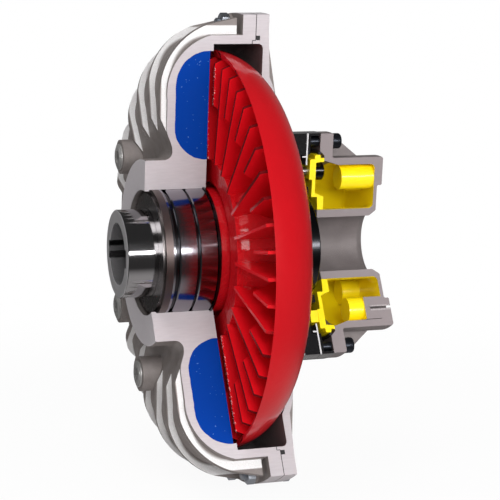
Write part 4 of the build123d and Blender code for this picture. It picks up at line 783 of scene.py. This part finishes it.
class COUPLING_OT_shaft(bpy.types.Operator):
    """Finishes the hollow shaft and its bearings"""

    bl_idname = "coupling.shaft"
    bl_label = "Shaft and bearings"

    def execute(self, context):
        material, sheet = finish("shaft_steel")
        lines = lathe_lines(sheet)
        tone = sheet.noise(0.03, 2.0)
        black = sheet.x > SHAFT_BLACK
        bright = sheet.shade(SHAFT_COLOUR, 0.94 + tone * 0.12)
        shade = sheet.mix(black, bright, BLACK_COLOUR)
        soft = (sheet.x < SHAFT_FACE) | ((sheet.radius < SHAFT_BORE) * 0.35)
        rough = 0.07 + lines * 0.05 + black * 0.2 + soft * 0.25
        sheet.surface(shade, rough, 1 - soft * 0.55, sheet.bump(lines * 0.3, 0.00004))
        dress(material, "hollow_shaft")
        dress(
            steel("ring_steel", (0.31, 0.30, 0.33), 0.15, 0.2),
            "left_bearing_inner_rings",
            "left_bearing_outer_rings",
            "left_support_ring",
            "left_bearing_balls",
            "right_bearing_balls",
        )
        dress(
            steel("dark_steel", (0.05, 0.05, 0.055), 0.2),
            "inner_wheel_screws",
            # the outer spacer takes this dark finish as painted shade of the groove between the
            # bearing rings
            "left_bearing_outer_spacer",
            "right_bearing_inner_ring",
            "right_bearing_outer_ring",
            "shaft_retaining_ring",
            "left_retaining_ring",
            "left_wave_ring",
            "carrier_screws",
            "filling_valve",
        )
        dress(
            steel("plain_steel", (0.42, 0.41, 0.42), 0.3),
            "left_bearing_inner_spacer",
            "nozzle_screw",
        )
        dress(steel("seal_cover_steel", (0.24, 0.22, 0.22), 0.28), "left_seal_cover")
        dress(
            steel("cage_brass", (0.60, 0.42, 0.16), 0.3),
            "left_bearing_cages",
            "right_bearing_cage",
        )
        dress(steel("seal_case_steel", (0.15, 0.12, 0.115), 0.4), "left_seal_case")
        return {"FINISHED"}


class COUPLING_OT_seals(bpy.types.Operator):
    """Finishes seals and O-rings"""

    bl_idname = "coupling.seals"
    bl_label = "Seals"

    def execute(self, context):
        material, sheet = finish("seal_rubber")
        grain = sheet.noise(0.0008, 3.0)
        tone = sheet.shade((0.018, 0.017, 0.018), 0.8 + grain * 0.4)
        sheet.surface(tone, 0.5 + grain * 0.15, 0.0, sheet.bump(grain, 0.0001))
        dress(material, "left_seal_lip", "right_shaft_seal", "joint_o_ring", "chamber_o_ring")
        return {"FINISHED"}


class COUPLING_OT_delay_chamber(bpy.types.Operator):
    """Finishes the carrier, the spacer ring and the delay chamber"""

    bl_idname = "coupling.delay_chamber"
    bl_label = "Delay chamber"

    def execute(self, context):
        material, sheet = finish("carrier_gloss")
        grain = sheet.noise(0.003, 2.0)
        sheet.surface((0.008, 0.008, 0.009), 0.25, 0.0, sheet.bump(grain, 0.0002), 0.5)
        dress(material, "bearing_carrier", "spacer_ring")

        material, sheet = finish("baffle_sheet")
        grain = sheet.noise(0.003, 2.0)
        shade = sheet.mix(sheet.cut, (0.10, 0.10, 0.10), (0.85, 0.85, 0.86))
        sheet.surface(shade, 0.35 + grain * 0.1, 0.4, sheet.bump(grain, 0.0001))
        dress(material, "baffle_ring")

        material, sheet = finish("chamber_casting")
        mottle = sheet.noise(0.02, 3.0)
        skin = sheet.mix(mottle, *CHAMBER_SKIN)
        across, along = sheet.from_ray(TAPPED_TURN, TAPPED_PITCH)
        off = (across**2 + (along - TAPPED_CIRCLE) ** 2) ** 0.5
        hole = (off < TAPPED_RADIUS + TAPPED_MARGIN) & (sheet.x > TAPPED_START - TAPPED_LEAD)
        inner, outer = CAVITY_INNER - CAVITY_MARGIN, CAVITY_OUTER + CAVITY_MARGIN
        hollow = (sheet.radius > inner) & (sheet.radius < outer)
        hollow = hollow & (sheet.x < CAVITY_END + CAVITY_MARGIN) & (1 - sheet.cut) & (1 - hole)
        sliver = (along > CAVITY_OUTER - SLIVER_DEPTH) & (abs(across) < SLIVER_WIDTH)
        sliver = sliver & (sheet.x > SLIVER_START)
        sliver = sliver & (abs(sheet.turn - radians(TAPPED_TURN)) < radians(SLIVER_TURN))
        hollow = hollow & (1 - sliver)
        colour = sheet.mix(hollow, skin, looks().chamber_paint)
        colour = sheet.mix(sheet.cut, colour, CHAMBER_BARE)
        row = abs(abs(sheet.radius - TAPPED_CIRCLE) - THREAD_ROW)
        tick = self.thread(sheet) & (row < THREAD_TICK) & sheet.cut
        tick = tick & (sheet.x > TAPPED_START) & (sheet.z < 0)
        colour = sheet.mix(tick, colour, TICK_COLOUR)
        rough = 0.5 - hollow * 0.22
        height = cast_grain(sheet) * (1 - hollow) * (1 - sheet.cut * 0.8)
        height = height + self.thread(sheet) * hole * 0.8
        metal = 0.2 - hollow * 0.2
        sheet.surface(colour, rough, metal, sheet.bump(height, 0.0004), hollow * 0.4)
        dress(material, "delay_chamber")

        material, sheet = finish("chamber_gloss")
        peel = sheet.noise(0.004, 2.0)
        tone = sheet.shade(looks().chamber_paint, 0.94 + peel * 0.12)
        sheet.surface(tone, 0.3, 0.0, sheet.bump(peel, 0.0003), 0.4)
        dress(material, "chamber_plate")
        return {"FINISHED"}

    @staticmethod
    def thread(sheet):
        """1 on every other half turn of the fixing thread."""
        wave = sheet.maths("FRACT", sheet.x / THREAD_PITCH)
        return wave > 0.45


class COUPLING_OT_joint_fasteners(bpy.types.Operator):
    """Dresses the hexagon screws and nuts of the joint"""

    bl_idname = "coupling.joint_fasteners"
    bl_label = "Joint fasteners"

    def execute(self, context):
        material = plated("zinc_plate", (0.34, 0.36, 0.40), 0.32)
        radius = JOINT_THREAD / 2
        start, bore, lead = NUT_FACE - NUT_HEIGHT, radius + NUT_PLAY, NUT_LEAD
        nut = hexagon_head("nut", JOINT_HEX, start, NUT_FACE, True)
        profile = [(start - lead, 0), (start - lead, bore + 2 * lead), (start + lead, bore)]
        profile += [(NUT_FACE + lead, bore), (NUT_FACE + lead, 0)]
        carve(nut, turned("nut_bore", profile, 24))
        nuts = spread(nut, JOINT_CIRCLE, JOINT_TURNS, "joint_nut_set")
        fit(nuts, "joint_nuts", material)

        head = hexagon_head("head", JOINT_HEX, COVER_BACK, COVER_BACK + HEAD_HEIGHT, False)
        profile = [(THREAD_END, 0), (THREAD_END, radius - JOINT_PITCH)]
        profile += threaded(THREAD_END + JOINT_PITCH / 2, NUT_FACE, radius, JOINT_PITCH)
        profile += [(COVER_BACK + HEAD_LAP, radius), (COVER_BACK + HEAD_LAP, 0)]
        carve(head, turned("shank", profile, 24), "UNION")
        screws = spread(head, JOINT_CIRCLE, JOINT_TURNS, "joint_screw_set")
        fit(screws, "joint_screws", material)
        return {"FINISHED"}


class COUPLING_OT_casing_plugs(bpy.types.Operator):
    """Dresses the filler and fusible plugs"""

    bl_idname = "coupling.casing_plugs"
    bl_label = "Casing plugs"

    def execute(self, context):
        radius, thread = PLUG_HEAD / 2, PLUG_THREAD / 2
        top = PLUG_FACE - PLUG_HEAD_HEIGHT
        profile = [(top, 0)]
        profile += [(top + below, radius - inside) for below, inside in PLUG_RING]
        profile += [(PLUG_FACE - PLUG_CHAMFER, radius), (PLUG_FACE, radius - PLUG_CHAMFER)]
        profile += [(PLUG_FACE, thread), (PLUG_FOOT, thread), (PLUG_FOOT, 0)]
        plug = turned("plug", profile)
        carve(plug, hexagon("socket", PLUG_SOCKET, top - TOOL_PROUD, top + PLUG_SOCKET_DEPTH))
        plugs = spread(plug, PLUG_CIRCLE, PLUG_TURNS, "casing_plug_set")
        material = plated("plug_steel", (0.46, 0.45, 0.44), 0.36, 0.6)
        fit(plugs, "casing_plugs", material)
        return {"FINISHED"}


class COUPLING_OT_chamber_screws(bpy.types.Operator):
    """Dresses the knurled socket screws of the delay chamber"""

    bl_idname = "coupling.chamber_screws"
    bl_label = "Chamber screws"

    def execute(self, context):
        radius, thread = CHAMBER_HEAD / 2, CHAMBER_THREAD / 2
        end = CHAMBER_SEAT + CHAMBER_THREAD
        profile = [(CHAMBER_SCREW_FOOT, 0), (CHAMBER_SCREW_FOOT, thread), (CHAMBER_SEAT, thread)]
        profile += [(CHAMBER_SEAT + above, radius - inside) for above, inside in CHAMBER_HEAD_FOOT]
        profile += [(end - below, radius - inside) for below, inside in CHAMBER_HEAD_ROUND]
        profile.append((end, 0))
        screw = turned("screw", profile, 72)
        # Every other point round the straight side of the head is drawn in
        for vertex in screw.data.vertices:
            x, y, z = vertex.co
            reach = sqrt(y * y + z * z)
            rim = CHAMBER_SEAT + 0.0005 < x < end - 0.0020 and reach > radius - 0.0001
            vertex.select = rim and round(self.turn_of(y, z) / KNURL_TURN) % 2 == 0
        only(screw)
        bpy.ops.object.mode_set(mode="EDIT")
        shares = (1, KNURL_SHARE, KNURL_SHARE)
        bpy.ops.transform.resize(value=shares, center_override=(0, 0, 0))
        bpy.ops.object.mode_set(mode="OBJECT")
        carve(screw, hexagon("socket", CHAMBER_SOCKET, end - thread, end + TOOL_PROUD))
        screws = spread(screw, CHAMBER_CIRCLE, CHAMBER_TURNS, "chamber_screw_set")
        material = plated("black_oxide", (0.045, 0.050, 0.062), 0.3)
        fit(screws, "chamber_screws", material)
        return {"FINISHED"}

    @staticmethod
    def turn_of(y, z):
        """Turn of a point round the shaft, in degrees."""
        return Vector((z, -y)).angle_signed(Vector((1, 0))) * 180 / pi


def aim(piece, target):
    """Turns a lamp or camera toward a point."""
    away = piece.location - Vector(target)
    piece.rotation_euler = away.to_track_quat("Z", "Y").to_euler()


def lamp(name, place, size, power):
    """Area lamp with width and height, aimed at the coupling."""
    bpy.ops.object.light_add(type="AREA", location=place)
    made = bpy.context.object
    made.name = name
    made.data.shape = "RECTANGLE"
    made.data.size, made.data.size_y = size
    made.data.energy = power
    aim(made, (0, 0, 0))


class COUPLING_OT_stage(bpy.types.Operator):
    """Sets up the camera, floor, room light and lamps"""

    bl_idname = "coupling.stage"
    bl_label = "Stage"

    def execute(self, context):
        studio = context.scene.coupling_studio
        bpy.ops.object.camera_add(location=CAMERA_PLACE)
        camera = context.object
        aim(camera, CAMERA_TARGET)
        camera.data.lens = CAMERA_LENS
        camera.data.sensor_width = CAMERA_SENSOR
        context.scene.camera = camera
        context.scene.view_settings.view_transform = "Standard"

        height = CAD_BOX[0].z - FLOOR_DROP
        bpy.ops.mesh.primitive_plane_add(size=FLOOR_SIZE, location=(0, 0, height))
        floor = context.object
        floor.name = "floor"
        material, sheet = finish("white_floor")
        seen, mirrored = sheet.ray("Camera"), sheet.ray("Glossy")
        through = sheet.ray("Transmission")
        distance = (sheet.x**2 + sheet.y**2) ** 0.5
        share = (seen | through) * (0.94 + sheet.ease(distance, *FLOOR_FADE) * 0.06)
        paper = sheet.node("ShaderNodeBsdfDiffuse", None, {0: (0.9, 0.9, 0.9, 1)})
        white = sheet.node("ShaderNodeEmission", None, {0: (1, 1, 1, 1), 1: 1.0})
        near = sheet.ease(distance, *MIRROR_FADE)
        tone = sheet.shade((1, 0.97, 0.96), 0.05 + near * 0.40)
        grey = sheet.node("ShaderNodeEmission", None, {0: tone, 1: 1.0})
        lit = sheet.node("ShaderNodeMixShader", None, {0: share, 1: paper, 2: white})
        sheet.close(sheet.node("ShaderNodeMixShader", None, {0: mirrored, 1: lit, 2: grey}))
        floor.data.materials.append(material)

        world = bpy.data.worlds.new("studio")
        context.scene.world = world
        world.use_nodes = True
        sheet = Sheet(world.node_tree)
        seen, mirrored = sheet.ray("Camera"), sheet.ray("Glossy")
        away = sheet.node("ShaderNodeTexCoord", None, None, "Generated")
        up = sheet.node("ShaderNodeSeparateXYZ", None, {0: away}, "Z")
        back = sheet.node("ShaderNodeSeparateXYZ", None, {0: away}, "Y")
        band = sheet.ease(back, 0.3, 0.9) * sheet.ease(up, 0.6, 0.3) * ROOM_BAND
        level = ROOM_LIGHT + (ROOM_DARK + band - ROOM_LIGHT) * mirrored
        level = level + (1.0 - level) * seen
        tone = sheet.shade((1, 1, 1), level)
        glow = sheet.node("ShaderNodeBackground", None, {0: tone, 1: 1.0})
        sheet.close(glow, "ShaderNodeOutputWorld")

        for name, (place, size) in LAMPS.items():
            lamp(name, place, size, getattr(studio, name))
        return {"FINISHED"}


class COUPLING_PT_panel(bpy.types.Panel):
    """Lists the coupling's steps and values"""

    bl_label = "Fluid coupling"
    bl_idname = "COUPLING_PT_panel"
    bl_space_type = "VIEW_3D"
    bl_region_type = "UI"
    bl_category = "Coupling"

    def draw(self, context):
        for group in (context.scene.coupling_finish, context.scene.coupling_studio):
            for name in group.__annotations__:
                self.layout.prop(group, name)
        for step in STEPS:
            self.layout.operator(step.bl_idname)


STEPS = (
    COUPLING_OT_casings,
    COUPLING_OT_inner_wheel,
    COUPLING_OT_shaft,
    COUPLING_OT_seals,
    COUPLING_OT_delay_chamber,
    COUPLING_OT_joint_fasteners,
    COUPLING_OT_casing_plugs,
    COUPLING_OT_chamber_screws,
    COUPLING_OT_stage,
)
CLASSES = (CouplingFinish, CouplingStudio, *STEPS, COUPLING_PT_panel)


def register():
    for kind in CLASSES:
        bpy.utils.register_class(kind)
    bpy.types.Scene.coupling_finish = bpy.props.PointerProperty(type=CouplingFinish)
    bpy.types.Scene.coupling_studio = bpy.props.PointerProperty(type=CouplingStudio)


def unregister():
    del bpy.types.Scene.coupling_studio
    del bpy.types.Scene.coupling_finish
    for kind in reversed(CLASSES):
        bpy.utils.unregister_class(kind)


def main():
    register()
    bpy.ops.coupling.casings()
    bpy.ops.coupling.inner_wheel()
    bpy.ops.coupling.shaft()
    bpy.ops.coupling.seals()
    bpy.ops.coupling.delay_chamber()
    bpy.ops.coupling.joint_fasteners()
    bpy.ops.coupling.casing_plugs()
    bpy.ops.coupling.chamber_screws()
    bpy.ops.coupling.stage()


if __name__ == "__main__":
    main()
